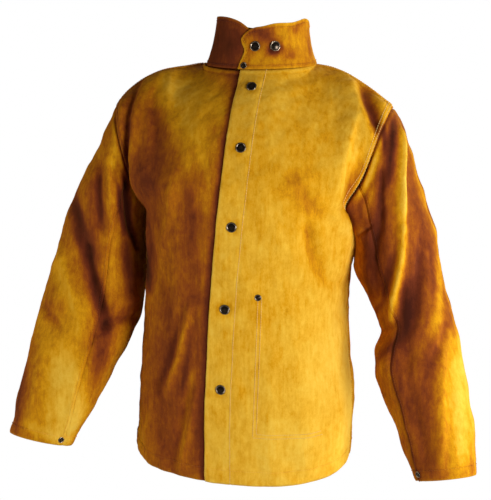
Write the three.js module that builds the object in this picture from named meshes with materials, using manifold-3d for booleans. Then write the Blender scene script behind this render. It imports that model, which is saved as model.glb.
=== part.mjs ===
// A leather welding jacket as it hangs on a wearer: two front panels that lap over each other, a back panel,
// two sleeves of two panels each, a stand collar, and the press snaps and rivets that close and hold it.
// Millimetres, +Z up. The wearer faces -Y and the wearer's left is +X. The origin is the middle of the neck
// opening at the height of the shoulder seams.
import * as THREE from "three";
import { mergeVertices } from "three/addons/utils/BufferGeometryUtils.js";
import Module from "manifold-3d";

const wasm = await Module();
wasm.setup();

// Driving dimensions
const WALL = 2; // split cowhide
const SEAM_GAP = 0.5; // left open between panels that are sewn edge to edge
const LAP = { width: 48, lift: 1.7, fadeFrom: 42, fadeTo: 100 }; // front overlap, and half the step it makes
const NECK = { halfWidth: 98.5, sideY: 30, offsetX: 14.5 };
const ARMHOLE = { tipX: 245, pitX: 187, y: 5, halfDepth: 72, z: -166, halfHeight: 92, hollow: 1.1 };
const COLLAR_LEAN = { x: 0.15, y: 0.1 }; // how much narrower and shallower the collar is at its top
// Fasteners, by the radii of their cap, post, hole and back
const SNAP = { cap: 8.8, capHeight: 2.6, post: 2, hole: 2.6, back: 6, backHeight: 1.2 };
const RIVET = { cap: 5.8, capHeight: 2, post: 1.6, hole: 2.2, back: 4.6, backHeight: 1 };
const CLEAR = 0.3; // between a snap and the leather that it clamps

// How finely the panels are faceted
const BODY_STEPS = { low: 8, armhole: 12, frontAcross: 12, backAcross: 20 };
const SLEEVE_STEPS = { along: 16, top: 16, under: 8 };
const COLLAR_STEPS = { round: 35, up: 5 };
const SNAP_SIDES = 12;

// Body sections from the hem (level 0) past the armpit (1) to the shoulder seam (2). frontY, frontZ, backY
// and backZ are the middle of the chest and of the back. Up to the armpit, sideZ is the side seam and shiftX
// moves the section sideways, since one side hangs closer.
const BODY_ROWS = [
  { level: 0.0, halfX: 195, shiftX: -15, sideZ: -697, frontY: -158, frontZ: -712, backY: 140, backZ: -706 },
  { level: 0.25, halfX: 194, shiftX: -10, sideZ: -590, frontY: -156, frontZ: -600, backY: 138, backZ: -596 },
  { level: 0.5, halfX: 185, shiftX: -10, sideZ: -481, frontY: -152, frontZ: -487, backY: 134, backZ: -484 },
  { level: 0.75, halfX: 182, shiftX: -7, sideZ: -370, frontY: -150, frontZ: -373, backY: 134, backZ: -372 },
  { level: 1.0, halfX: 187, shiftX: 0, sideZ: -258, frontY: -149, frontZ: -258, backY: 137, backZ: -258 },
  { level: 1.25, halfX: 187, shiftX: 0, sideZ: -258, frontY: -142, frontZ: -190, backY: 138, backZ: -186 },
  { level: 1.5, halfX: 187, shiftX: 0, sideZ: -258, frontY: -122, frontZ: -124, backY: 134, backZ: -116 },
  { level: 1.75, halfX: 187, shiftX: 0, sideZ: -258, frontY: -90, frontZ: -64, backY: 122, backZ: -50 },
  { level: 2.0, halfX: 187, shiftX: 0, sideZ: -258, frontY: -48, frontZ: -12, backY: 108, backZ: 3 },
];
const SECTION_POWER = 2.35; // 2 is an ellipse, and more is squarer
const NECK_SHARE = 0.45; // of a half row at the shoulder level that runs round the neck
// Each shoulder seam's height at the neck, and its fall to the tip: an even share, and the rest as a power of
// the way along
const SHOULDERS = {
  left: { neckZ: -3.5, even: 0, power: 1.65 },
  right: { neckZ: -3.5, even: 0.3, power: 4 },
};
const HEM_TILT = { slope: 0.03, top: 0.5 }; // the hem hangs lower on the left, up to a level

// Front edge of the left front panel, which lies on top, by level
const FRONT_EDGE = [
  { level: 0, x: -47 },
  { level: 0.25, x: -47.5 },
  { level: 0.5, x: -43.5 },
  { level: 0.75, x: -37 },
  { level: 1, x: -26.5 },
  { level: 1.3, x: -19 },
  { level: 2, x: -9 },
];

// Height of the collar by degrees round the neck, from the upper, left end to the lower, right end
const COLLAR_TOP = [
  { turn: -376, height: 50 },
  { turn: -370, height: 61 },
  { turn: -362, height: 68.5 },
  { turn: -350, height: 71.5 },
  { turn: -335, height: 75.5 },
  { turn: -312, height: 75.5 },
  { turn: -298, height: 78.5 },
  { turn: -288, height: 80 },
  { turn: -275, height: 76 },
  { turn: -250, height: 65 },
  { turn: -180, height: 52 },
  { turn: -110, height: 66 },
  { turn: -80, height: 72.5 },
  { turn: -60, height: 78 },
  { turn: -45, height: 86 },
  { turn: -30, height: 83.5 },
  { turn: -18, height: 78 },
  { turn: -8, height: 68 },
  { turn: 2, height: 54 },
  { turn: 18, height: 46 },
];

// Sleeves from the armhole to the cuff, as the lines of their outer and inner side seen from the front. The
// right sleeve's x is counted towards the wearer's right.
const SLEEVE_ROWS = {
  left: [
    { along: 0.0, outerX: 245, outerZ: -74, innerX: 187, innerZ: -258, midY: 5, halfDepth: 72 },
    { along: 0.1, outerX: 266, outerZ: -112, innerX: 191, innerZ: -276, midY: 5, halfDepth: 77 },
    { along: 0.23, outerX: 289, outerZ: -185, innerX: 189, innerZ: -306, midY: 2, halfDepth: 80 },
    { along: 0.38, outerX: 322, outerZ: -275, innerX: 187, innerZ: -352, midY: -6, halfDepth: 79 },
    { along: 0.5, outerX: 339, outerZ: -350, innerX: 212, innerZ: -402, midY: -18, halfDepth: 77 },
    { along: 0.62, outerX: 361, outerZ: -425, innerX: 239, innerZ: -456, midY: -36, halfDepth: 75 },
    { along: 0.68, outerX: 371, outerZ: -461, innerX: 231, innerZ: -492, midY: -47, halfDepth: 73 },
    { along: 0.75, outerX: 383, outerZ: -505, innerX: 235, innerZ: -536, midY: -62, halfDepth: 70 },
    { along: 0.88, outerX: 402, outerZ: -592, innerX: 277, innerZ: -618, midY: -90, halfDepth: 61 },
    { along: 1.0, outerX: 411, outerZ: -674, innerX: 310, innerZ: -693, midY: -113, halfDepth: 49 },
  ],
  right: [
    { along: 0.0, outerX: 245, outerZ: -74, innerX: 187, innerZ: -258, midY: 5, halfDepth: 72 },
    { along: 0.1, outerX: 264, outerZ: -112, innerX: 193, innerZ: -276, midY: 5, halfDepth: 77 },
    { along: 0.16, outerX: 276, outerZ: -145, innerX: 195, innerZ: -290, midY: 4, halfDepth: 79 },
    { along: 0.23, outerX: 301, outerZ: -185, innerX: 196, innerZ: -306, midY: 3, halfDepth: 80 },
    { along: 0.38, outerX: 343, outerZ: -275, innerX: 197, innerZ: -352, midY: -2, halfDepth: 80 },
    { along: 0.5, outerX: 363, outerZ: -350, innerX: 198, innerZ: -402, midY: -12, halfDepth: 78 },
    { along: 0.62, outerX: 382, outerZ: -425, innerX: 205, innerZ: -460, midY: -32, halfDepth: 75 },
    { along: 0.75, outerX: 396, outerZ: -505, innerX: 238, innerZ: -536, midY: -60, halfDepth: 70 },
    { along: 0.88, outerX: 411, outerZ: -592, innerX: 275, innerZ: -614, midY: -90, halfDepth: 61 },
    { along: 1.0, outerX: 424, outerZ: -665, innerX: 310, innerZ: -684, midY: -113, halfDepth: 49 },
  ],
};
const SLEEVE_SEAMS = { front: 203, back: 330 }; // degrees round the sleeve: 90 outer, 180 front, 270 inner
const SLEEVE_TWIST = { degrees: 40, power: 4 }; // how far the seams have wound inwards at the cuff
const CAP_BLEND = 0.34; // share of the sleeve over which the armhole's own outline fades out

// Folds of the body: a soft ridge (rise above 0) or valley along a line seen from the front or the back
const BODY_FOLDS = [
  { face: "front", x0: 196, z0: -90, x1: 214, z1: -190, width: 15, rise: 13 },
  { face: "front", x0: 168, z0: -150, x1: 160, z1: -250, width: 12, rise: 7 },
  { face: "front", x0: 178, z0: -285, x1: 184, z1: -330, width: 16, rise: 7 },
  { face: "front", x0: 150, z0: -330, x1: 120, z1: -440, width: 16, rise: -4 },
  { face: "front", x0: 165, z0: -470, x1: 172, z1: -690, width: 18, rise: 5 },
  { face: "front", x0: -200, z0: -95, x1: -208, z1: -200, width: 14, rise: 11 },
  { face: "front", x0: -150, z0: -120, x1: -160, z1: -250, width: 20, rise: -6 },
  { face: "front", x0: -110, z0: -330, x1: -150, z1: -560, width: 13, rise: 4 },
  { face: "front", x0: -80, z0: -430, x1: -118, z1: -690, width: 13, rise: 5 },
  { face: "back", x0: 120, z0: -420, x1: 138, z1: -690, width: 26, rise: 6 },
  { face: "back", x0: 10, z0: -480, x1: -6, z1: -690, width: 28, rise: 5 },
  { face: "back", x0: -120, z0: -400, x1: -136, z1: -690, width: 26, rise: 6 },
  { face: "back", x0: 150, z0: -130, x1: 120, z1: -300, width: 24, rise: 7 },
  { face: "back", x0: -150, z0: -130, x1: -120, z1: -300, width: 24, rise: 7 },
];

// Folds of each sleeve, along a line from (angle0, along0) to (angle1, along1) on its unrolled surface
const SLEEVE_FOLDS = [
  { side: "left", angle0: 150, along0: 0.12, angle1: 166, along1: 0.56, width: 13, rise: 9 },
  { side: "left", angle0: 195, along0: 0.2, angle1: 215, along1: 0.58, width: 16, rise: -7 },
  { side: "left", angle0: 262, along0: 0.62, angle1: 205, along1: 0.61, width: 11, rise: -6 },
  { side: "left", angle0: 262, along0: 0.7, angle1: 225, along1: 0.74, width: 16, rise: 6 },
  { side: "left", angle0: 95, along0: 0.5, angle1: 130, along1: 0.56, width: 18, rise: -6 },
  { side: "right", angle0: 150, along0: 0.16, angle1: 176, along1: 0.4, width: 12, rise: 7 },
  { side: "right", angle0: 130, along0: 0.38, angle1: 188, along1: 0.66, width: 17, rise: -9 },
  { side: "right", angle0: 190, along0: 0.66, angle1: 225, along1: 0.68, width: 11, rise: -7 },
  { side: "right", angle0: 100, along0: 0.57, angle1: 140, along1: 0.68, width: 16, rise: -6 },
  { side: "right", angle0: 150, along0: 0.72, angle1: 170, along1: 0.95, width: 16, rise: 4 },
];

const UP = new THREE.Vector3(0, 0, 1);

function mix(a, b, share) {
  return a + (b - a) * share;
}

function smoothstep(from, to, value) {
  const t = Math.min(1, Math.max(0, (value - from) / (to - from)));
  return t * t * (3 - 2 * t);
}

// One column of a table read at a place between its rows, on a curve that passes smoothly through every row
function readColumn(rows, key, place, column) {
  let i = 0;
  while (i < rows.length - 2 && place > rows[i + 1][key]) i += 1;
  const slopeAt = (k) => {
    const before = rows[Math.max(0, k - 1)];
    const after = rows[Math.min(rows.length - 1, k + 1)];
    return (after[column] - before[column]) / (after[key] - before[key]);
  };
  const span = rows[i + 1][key] - rows[i][key];
  const t = (place - rows[i][key]) / span;
  const ease = t * t * (3 - 2 * t);
  const rising = t * (1 - t) * (1 - t) * span * slopeAt(i);
  const falling = t * t * (t - 1) * span * slopeAt(i + 1);
  return mix(rows[i][column], rows[i + 1][column], ease) + rising + falling;
}

// The closed outline of the left armhole: 90 degrees is the shoulder tip, 180 the front, 270 the armpit
function armholePoint(degrees) {
  const angle = THREE.MathUtils.degToRad(degrees);
  const climb = Math.pow((1 + Math.sin(angle)) / 2, ARMHOLE.hollow);
  return new THREE.Vector3(
    mix(ARMHOLE.pitX, ARMHOLE.tipX, climb),
    ARMHOLE.y + ARMHOLE.halfDepth * Math.cos(angle),
    ARMHOLE.z + ARMHOLE.halfHeight * Math.sin(angle),
  );
}

// The angle round the armhole of a level between the armpit and the shoulder, on the front or the back
function armholeAngle(face, level) {
  const climb = -90 + 180 * (level - 1);
  return face === "front" ? 180 - climb : climb;
}

// Where a half row ends: on the side seam up to the armpit, and on the armhole above it
function rowEnd(face, level) {
  if (level > 1) return armholePoint(armholeAngle(face, level));
  const halfX = readColumn(BODY_ROWS, "level", level, "halfX");
  return new THREE.Vector3(halfX, ARMHOLE.y, readColumn(BODY_ROWS, "level", level, "sideZ"));
}

// How far a half row has gone from its middle to its end, for x, y and z, on a plain body section
function sectionShares(across) {
  const x = Math.sin((Math.PI / 2) * across);
  const y = 1 - Math.pow(1 - Math.pow(x, SECTION_POWER), 1 / SECTION_POWER);
  return new THREE.Vector3(x, y, y);
}

// The same for the shoulder level, where a half row runs round the neck and then out along the shoulder seam
function shoulderShares(across, middle, end, shoulder) {
  const corner = new THREE.Vector3(
    NECK.halfWidth / end.x,
    (NECK.sideY - middle.y) / (end.y - middle.y),
    (shoulder.neckZ - middle.z) / (end.z - middle.z),
  );
  if (across < NECK_SHARE) {
    const turn = ((Math.PI / 2) * across) / NECK_SHARE;
    const rest = 1 - Math.cos(turn);
    return new THREE.Vector3(corner.x * Math.sin(turn), corner.y * rest, corner.z * rest);
  }
  const t = (across - NECK_SHARE) / (1 - NECK_SHARE);
  return new THREE.Vector3(
    mix(corner.x, 1, t),
    mix(corner.y, 1, t),
    mix(corner.z, 1, mix(Math.pow(t, shoulder.power), t, shoulder.even)),
  );
}

// The body's plain surface: across runs from -1 (wearer's right) to 1 (left), and level from hem to shoulder
function plainBodyPoint(face, across, level) {
  const side = across < 0 ? -1 : 1;
  const end = rowEnd(face, level);
  const middle = new THREE.Vector3(
    0,
    readColumn(BODY_ROWS, "level", level, face + "Y"),
    readColumn(BODY_ROWS, "level", level, face + "Z"),
  );
  const share = sectionShares(Math.abs(across));
  const top = smoothstep(1.2, 2, level);
  const shoulder = side < 0 ? SHOULDERS.right : SHOULDERS.left;
  if (top > 0) share.lerp(shoulderShares(Math.abs(across), middle, end, shoulder), top);
  const offset = NECK.offsetX * smoothstep(1, 2, level) * (1 - share.x);
  const shift = level < 1 ? readColumn(BODY_ROWS, "level", level, "shiftX") : 0;
  const x = offset + shift + side * end.x * share.x;
  const tilt = HEM_TILT.slope * x * smoothstep(HEM_TILT.top, 0, level);
  return new THREE.Vector3(x, mix(middle.y, end.y, share.y), mix(middle.z, end.z, share.z) - tilt);
}

// A soft ridge's height at a distance from its line, fading towards the line's ends
function ridge(x, y, x0, y0, x1, y1, width) {
  const length = Math.hypot(x1 - x0, y1 - y0);
  const along = ((x - x0) * (x1 - x0) + (y - y0) * (y1 - y0)) / length;
  const away = ((x - x0) * (y1 - y0) - (y - y0) * (x1 - x0)) / length;
  const past = Math.max(0, -along, along - length);
  const fade = 1 - 0.4 * smoothstep(0.25, 0.5, Math.abs(along / length - 0.5));
  return fade * Math.exp(-(away * away + past * past * 0.5) / (2 * width * width));
}

// The normal of a surface of two parameters, worked out from small steps
function normalOf(surface, a, b, stepA, stepB) {
  const alongA = surface(a + stepA, b).sub(surface(a - stepA, b));
  const alongB = surface(a, b + stepB).sub(surface(a, b - stepB));
  return alongA.cross(alongB).normalize();
}

const STEP = 0.004;

// The outward normal of a body surface, read a little inside the edges of its rows
function bodyNormal(surface, face, across, level) {
  const a = THREE.MathUtils.clamp(across, -1 + 2 * STEP, 1 - 2 * STEP);
  const b = THREE.MathUtils.clamp(level, STEP, 2 - STEP);
  const normal = normalOf((u, v) => surface(face, u, v), a, b, STEP, STEP);
  return face === "front" ? normal : normal.negate();
}

// The body with its folds, which die away at the seams
function bodyPoint(face, across, level) {
  const point = plainBodyPoint(face, across, level);
  const seamFade = smoothstep(1, 0.9, Math.abs(across)) * smoothstep(2, 1.85, level);
  let rise = 0;
  for (const fold of BODY_FOLDS) {
    if (fold.face !== face) continue;
    rise += fold.rise * ridge(point.x, point.z, fold.x0, fold.z0, fold.x1, fold.z1, fold.width);
  }
  return point.addScaledVector(bodyNormal(plainBodyPoint, face, across, level), rise * seamFade);
}

// A front panel or the back, with the front panels stepped apart where they lap
function panelPoint(panel, across, level) {
  const face = panel === "back" ? "back" : "front";
  const point = bodyPoint(face, across, level);
  if (panel === "back") return point;
  const middle = readColumn(FRONT_EDGE, "level", level, "x") + LAP.width / 2;
  const near = 1 - smoothstep(LAP.fadeFrom, LAP.fadeTo, Math.abs(point.x - middle));
  const step = (panel === "front_left" ? LAP.lift : -LAP.lift) * near;
  return point.addScaledVector(bodyNormal(plainBodyPoint, face, across, level), step);
}

// The place across a row of the front where x has a given value
function acrossAt(level, x) {
  let low = -0.6;
  let high = 0.6;
  for (let i = 0; i < 40; i += 1) {
    const middle = (low + high) / 2;
    if (plainBodyPoint("front", middle, level).x < x) low = middle;
    else high = middle;
  }
  return (low + high) / 2;
}

function frontEdgeAcross(panel, level) {
  const edge = readColumn(FRONT_EDGE, "level", level, "x");
  return acrossAt(level, panel === "front_left" ? edge : edge + LAP.width);
}

// A sleeve's plain tube: angle in degrees round it, along from the armhole (0) to the cuff (1)
function sleeveTube(side, degrees, along) {
  const rows = SLEEVE_ROWS[side];
  const read = (column) => readColumn(rows, "along", along, column);
  const angle = THREE.MathUtils.degToRad(degrees);
  const half = new THREE.Vector3(
    (read("outerX") - read("innerX")) / 2,
    0,
    (read("outerZ") - read("innerZ")) / 2,
  );
  const centre = new THREE.Vector3(read("innerX") + half.x, read("midY"), read("innerZ") + half.z);
  const slope = (readColumn(rows, "along", Math.min(1, along + 0.01), "midY") - read("midY")) / 0.01;
  const pitch = along < 1 ? slope / 700 : -0.28;
  const backwards = new THREE.Vector3(0, 1, pitch).normalize();
  return centre
    .addScaledVector(half, Math.sin(angle))
    .addScaledVector(backwards, read("halfDepth") * Math.cos(angle));
}

function plainSleevePoint(side, degrees, along) {
  const point = sleeveTube(side, degrees, along);
  const left = 1 - Math.min(1, along / CAP_BLEND);
  const start = armholePoint(degrees).sub(sleeveTube(side, degrees, 0));
  return point.addScaledVector(start, left * left);
}

function sleeveNormal(side, degrees, along) {
  const b = THREE.MathUtils.clamp(along, STEP, 1 - STEP);
  return normalOf((d, a) => plainSleevePoint(side, d, a), degrees, b, 0.5, STEP);
}

const SLEEVE_GIRTH = 460; // mean length round the sleeve and along it, which turn fold angles into distances
const SLEEVE_LENGTH = 640;

function sleevePoint(side, degrees, along) {
  const point = plainSleevePoint(side, degrees, along);
  let rise = 0;
  for (const fold of SLEEVE_FOLDS) {
    if (fold.side !== side) continue;
    const perDegree = SLEEVE_GIRTH / 360;
    const turned = ((degrees + 30) % 360) - 30;
    rise +=
      fold.rise *
      ridge(
        turned * perDegree,
        along * SLEEVE_LENGTH,
        fold.angle0 * perDegree,
        fold.along0 * SLEEVE_LENGTH,
        fold.angle1 * perDegree,
        fold.along1 * SLEEVE_LENGTH,
        fold.width,
      );
  }
  const seamFade = smoothstep(0, 0.08, along) * smoothstep(1, 0.94, along);
  return point.addScaledVector(sleeveNormal(side, degrees, along), rise * seamFade);
}

// The neck seam: turn in degrees round the neck, 0 at the front and positive to the wearer's left
function neckSeam(turn) {
  const folded = Math.abs(((turn + 540) % 360) - 180);
  const side = ((turn + 540) % 360) - 180 < 0 ? -1 : 1;
  const face = folded <= 90 ? "front" : "back";
  const share = face === "front" ? folded / 90 : (180 - folded) / 90;
  return plainBodyPoint(face, side * NECK_SHARE * share, 2);
}

const COLLAR_TURNS = { right: 18, left: -376 }; // where its lower, right end and its upper, left end are
const COLLAR_MIDDLE = new THREE.Vector3(NECK.offsetX, NECK.sideY, 0);

// The collar rises from the neck seam, narrows upwards, and its left end laps over its right end
function collarPoint(turn, up) {
  const base = neckSeam(turn);
  const outward = base.clone().sub(COLLAR_MIDDLE).setZ(0).normalize();
  const facing = Math.cos(THREE.MathUtils.degToRad(turn));
  const within = THREE.MathUtils.clamp(turn, COLLAR_TURNS.left, COLLAR_TURNS.right);
  const height = readColumn(COLLAR_TOP, "turn", within, "height");
  const lean = 1 - (1 - up) * (1 - up);
  const reach = base.clone().sub(COLLAR_MIDDLE);
  const point = base.clone();
  point.x -= reach.x * COLLAR_LEAN.x * lean;
  point.y -= reach.y * COLLAR_LEAN.y * lean;
  point.z += SEAM_GAP + LAP.lift * smoothstep(0.2, 0.9, facing) + height * up;
  const lapped = mix(-1, 1, smoothstep(COLLAR_TURNS.right - 80, COLLAR_TURNS.left + 80, turn));
  return point.addScaledVector(outward, lapped * LAP.lift);
}

// A closed leather wall from a grid of outer points and the directions into the leather
function wallGeometry(outer, inward, flip) {
  const rows = outer.length;
  const columns = outer[0].length;
  const inner = outer.map((row, i) => row.map((p, j) => p.clone().addScaledVector(inward[i][j], WALL)));
  const positions = [...outer, ...inner].flat().flatMap((p) => [p.x, p.y, p.z]);
  const triangles = [];
  const quad = (a, b, c, d) => triangles.push(...(flip ? [a, c, b, a, d, c] : [a, b, c, a, c, d]));
  const at = (i, j) => i * columns + j;
  const deep = rows * columns;
  for (let i = 0; i + 1 < rows; i += 1) {
    for (let j = 0; j + 1 < columns; j += 1) {
      quad(at(i, j), at(i, j + 1), at(i + 1, j + 1), at(i + 1, j));
      quad(deep + at(i, j), deep + at(i + 1, j), deep + at(i + 1, j + 1), deep + at(i, j + 1));
    }
    quad(at(i, 0), at(i + 1, 0), deep + at(i + 1, 0), deep + at(i, 0));
    const last = columns - 1;
    quad(at(i, last), deep + at(i, last), deep + at(i + 1, last), at(i + 1, last));
  }
  for (let j = 0; j + 1 < columns; j += 1) {
    quad(at(0, j), deep + at(0, j), deep + at(0, j + 1), at(0, j + 1));
    const last = rows - 1;
    quad(at(last, j), at(last, j + 1), deep + at(last, j + 1), deep + at(last, j));
  }
  const geometry = new THREE.BufferGeometry();
  geometry.setAttribute("position", new THREE.Float32BufferAttribute(positions, 3));
  geometry.setIndex(triangles);
  return geometry;
}

function range(from, to, steps) {
  return Array.from({ length: steps + 1 }, (_, i) => mix(from, to, i / steps));
}

// The direction into the leather at a point of the body, shared by both panels along a seam
function bodyInward(face, across, level) {
  const outward = bodyNormal(plainBodyPoint, face, across, level);
  const other = face === "front" ? "back" : "front";
  const edge = Math.abs(across) > 0.998;
  if (edge && level <= 1) outward.add(bodyNormal(plainBodyPoint, other, across, level));
  if (level > 1.998 && Math.abs(across) >= NECK_SHARE - 0.01) {
    outward.add(bodyNormal(plainBodyPoint, other, across, level));
  }
  if (edge && level > 1) {
    const side = across < 0 ? "right" : "left";
    const sleeve = sleeveNormal(side, armholeAngle(face, level), 0);
    outward.add(sleeve.setX(sleeve.x * Math.sign(across)));
  }
  return outward.normalize().negate();
}

const levels = [...range(0, 1, BODY_STEPS.low), ...range(1, 2, BODY_STEPS.armhole).slice(1)];
const TRIM = 0.0015; // takes half the seam gap off a panel's edge

function bodyPanel(panel) {
  const face = panel === "back" ? "back" : "front";
  const grid = levels.map((level) => {
    const inset = level > 1.999 ? level - TRIM : level;
    const edges = {
      back: [-1 + TRIM, 1 - TRIM],
      front_left: [frontEdgeAcross(panel, level), 1 - TRIM],
      front_right: [-1 + TRIM, frontEdgeAcross(panel, level)],
    }[panel];
    const count = panel === "back" ? BODY_STEPS.backAcross : BODY_STEPS.frontAcross;
    return range(...edges, count).map((across) => [across, inset]);
  });
  const outer = grid.map((row) => row.map(([across, level]) => panelPoint(panel, across, level)));
  const inward = grid.map((row) => row.map(([across, level]) => bodyInward(face, across, level)));
  return wallGeometry(outer, inward, panel === "back");
}

// How far the sleeve's seams have wound round it at a place along it
function twist(along) {
  return SLEEVE_TWIST.degrees * Math.pow(along, SLEEVE_TWIST.power);
}

const ARMHOLE_TRIM = 0.0021; // keeps the sleeve's first ring off the armhole

// One panel of a sleeve between two angles, mirrored for the right sleeve
function sleevePanel(side, from, to, steps) {
  const mirror = side === "left" ? 1 : -1;
  const trim = (180 * SEAM_GAP) / (Math.PI * 2 * 70);
  const along = range(0, 1, SLEEVE_STEPS.along);
  const angles = range(from, to, steps);
  angles[0] += trim;
  angles[steps] -= trim;
  const flipped = (p) => p.setX(p.x * mirror);
  const outer = along.map((a) =>
    angles.map((d) => flipped(sleevePoint(side, d + twist(a), Math.max(a, ARMHOLE_TRIM)))),
  );
  const inward = along.map((a) =>
    angles.map((d) => {
      const outward = sleeveNormal(side, d + twist(a), a);
      if (a === 0) outward.add(armholeBodyNormal(d));
      return flipped(outward.normalize().negate());
    }),
  );
  return wallGeometry(outer, inward, side === "right");
}

// The body's own normal at an angle of the left armhole
function armholeBodyNormal(degrees) {
  const turn = ((degrees % 360) + 360) % 360;
  const front = turn >= 90 && turn <= 270;
  const climb = front ? 180 - turn : turn > 270 ? turn - 360 : turn;
  const level = 1 + (climb + 90) / 180;
  return bodyNormal(plainBodyPoint, front ? "front" : "back", 1, level);
}

function collarBand() {
  const turns = range(COLLAR_TURNS.right, COLLAR_TURNS.left, COLLAR_STEPS.round);
  turns.splice(-1, 0, COLLAR_TURNS.left + 6, COLLAR_TURNS.left + 3);
  const heights = range(0, 1, COLLAR_STEPS.up);
  const outer = heights.map((up) => turns.map((turn) => collarPoint(turn, up)));
  const inward = heights.map((up) =>
    turns.map((turn) => {
      const b = THREE.MathUtils.clamp(up, STEP, 1 - STEP);
      return normalOf(collarPoint, turn, b, -0.5, STEP).negate();
    }),
  );
  return wallGeometry(outer, inward, false);
}

// A snap or rivet as one turned piece: a domed cap, a post through the leather and a disc behind it
function fastenerGeometry(size, stack) {
  const back = -stack - CLEAR;
  const profile = [
    [0, back - size.backHeight],
    [size.back, back - size.backHeight],
    [size.back, back],
    [size.post, back],
    [size.post, CLEAR],
    [size.cap, CLEAR],
    [size.cap, CLEAR + size.capHeight * 0.45],
    [size.cap * 0.72, CLEAR + size.capHeight * 0.88],
    [0, CLEAR + size.capHeight],
  ];
  const points = profile.map(([radius, height]) => new THREE.Vector2(radius, height));
  return new THREE.LatheGeometry(points, SNAP_SIDES).rotateX(Math.PI / 2);
}

function toSolid(geometry) {
  const bare = geometry.clone();
  bare.deleteAttribute("normal");
  bare.deleteAttribute("uv");
  const merged = mergeVertices(bare, 1e-3);
  const triVerts = new Uint32Array(merged.index.array);
  const vertProperties = merged.attributes.position.array;
  return new wasm.Manifold(new wasm.Mesh({ numProp: 3, vertProperties, triVerts }));
}

function fromSolid(solid) {
  const mesh = solid.getMesh();
  const geometry = new THREE.BufferGeometry();
  geometry.setAttribute("position", new THREE.BufferAttribute(new Float32Array(mesh.vertProperties), 3));
  geometry.setIndex([...mesh.triVerts]);
  return geometry;
}

// Cuts the holes that fasteners pass through
function punched(geometry, seats) {
  let solid = toSolid(geometry);
  for (const seat of seats) {
    const radius = seat.size.hole;
    const drill = new THREE.CylinderGeometry(radius, radius, 40, SNAP_SIDES).rotateX(Math.PI / 2);
    solid = solid.subtract(toSolid(drill.applyMatrix4(seat.place)));
  }
  return fromSolid(solid);
}

const SIGHT = 12; // how far from the leather those rays start and end

// Seats a fastener on panels: rays along its axis find the leather under the cap and behind the back disc
function seatOn(name, size, geometries, point, normal) {
  const turn = new THREE.Quaternion().setFromUnitVectors(UP, normal);
  const bothSides = new THREE.MeshBasicMaterial({ side: THREE.DoubleSide });
  const meshes = geometries.map((geometry) => new THREE.Mesh(geometry, bothSides));
  const inward = normal.clone().negate();
  const depthsAt = (radius) =>
    range(0, 2 * Math.PI, 8).flatMap((angle) => {
      const spoke = new THREE.Vector3(radius * Math.cos(angle), radius * Math.sin(angle), SIGHT);
      const ray = new THREE.Raycaster(spoke.applyQuaternion(turn).add(point), inward, 0, 2 * SIGHT);
      return ray.intersectObjects(meshes).map((hit) => SIGHT - hit.distance);
    });
  const top = Math.max(...depthsAt(size.cap), ...depthsAt(size.post));
  const bottom = Math.min(...depthsAt(size.back), ...depthsAt(size.post));
  const seat = point.clone().addScaledVector(normal, top);
  const place = new THREE.Matrix4().compose(seat, turn, new THREE.Vector3(1, 1, 1));
  return { name, size, stack: top - bottom, place };
}

// The leather panels before their holes
const panels = {
  back_panel: bodyPanel("back"),
  front_panel_right: bodyPanel("front_right"),
  front_panel_left: bodyPanel("front_left"),
  collar: collarBand(),
};
for (const side of ["left", "right"]) {
  const { front, back } = SLEEVE_SEAMS;
  panels[`top_sleeve_${side}`] = sleevePanel(side, back - 360, front, SLEEVE_STEPS.top);
  panels[`under_sleeve_${side}`] = sleevePanel(side, front, back, SLEEVE_STEPS.under);
}

// Places of the fasteners. The front snaps and all but one of the collar's go through both layers of the lap.
const FRONT_SNAPS = { inset: 27, levels: [1.865, 1.455, 0.983, 0.68, 0.373] };
const POCKET_RIVET = { x: 44, level: 0.73 };
const CUFF_RIVET = { beforeSeam: 8, along: 0.983 };
const COLLAR_SEATS = [
  { name: "collar_snap_1", size: SNAP, inset: 16.7, up: 0.55 },
  { name: "collar_snap_2", size: SNAP, inset: 40, up: 0.5 },
  { name: "collar_rivet", size: RIVET, inset: 5.5, up: 0.1 },
];

function frontSeat(name, size, under, x, level) {
  const across = acrossAt(level, x);
  const surface = (face, u, v) => panelPoint("front_left", u, v);
  const point = panelPoint("front_left", across, level);
  return seatOn(name, size, under, point, bodyNormal(surface, "front", across, level));
}

const frontSeats = FRONT_SNAPS.levels.map((level, i) => {
  const x = readColumn(FRONT_EDGE, "level", level, "x") + FRONT_SNAPS.inset;
  const layers = [panels.front_panel_left, panels.front_panel_right];
  return frontSeat(`front_snap_${i + 1}`, SNAP, layers, x, level);
});
const pocketLayer = [panels.front_panel_left];
const pocketSeat = frontSeat("pocket_rivet", RIVET, pocketLayer, POCKET_RIVET.x, POCKET_RIVET.level);
const collarSeats = COLLAR_SEATS.map(({ name, size, inset, up }) => {
  const turn = COLLAR_TURNS.left + inset;
  const normal = normalOf(collarPoint, turn, up, -0.5, STEP);
  return seatOn(name, size, [panels.collar], collarPoint(turn, up), normal);
});
const cuffSeats = ["left", "right"].map((side) => {
  const angle = SLEEVE_SEAMS.front - CUFF_RIVET.beforeSeam + twist(CUFF_RIVET.along);
  const point = sleevePoint(side, angle, CUFF_RIVET.along);
  const normal = sleeveNormal(side, angle, CUFF_RIVET.along);
  const mirror = side === "left" ? 1 : -1;
  point.x *= mirror;
  normal.x *= mirror;
  return seatOn(`cuff_rivet_${side}`, RIVET, [panels[`top_sleeve_${side}`]], point, normal);
});

const leather = (color) => new THREE.MeshStandardMaterial({ color, roughness: 0.95, metalness: 0 });
const blackened = new THREE.MeshStandardMaterial({ color: 0x1c1510, roughness: 0.35, metalness: 0.8 });

const jacket = new THREE.Group();

function add(name, geometry, material) {
  const mesh = new THREE.Mesh(geometry, material);
  mesh.name = name;
  jacket.add(mesh);
}

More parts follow.
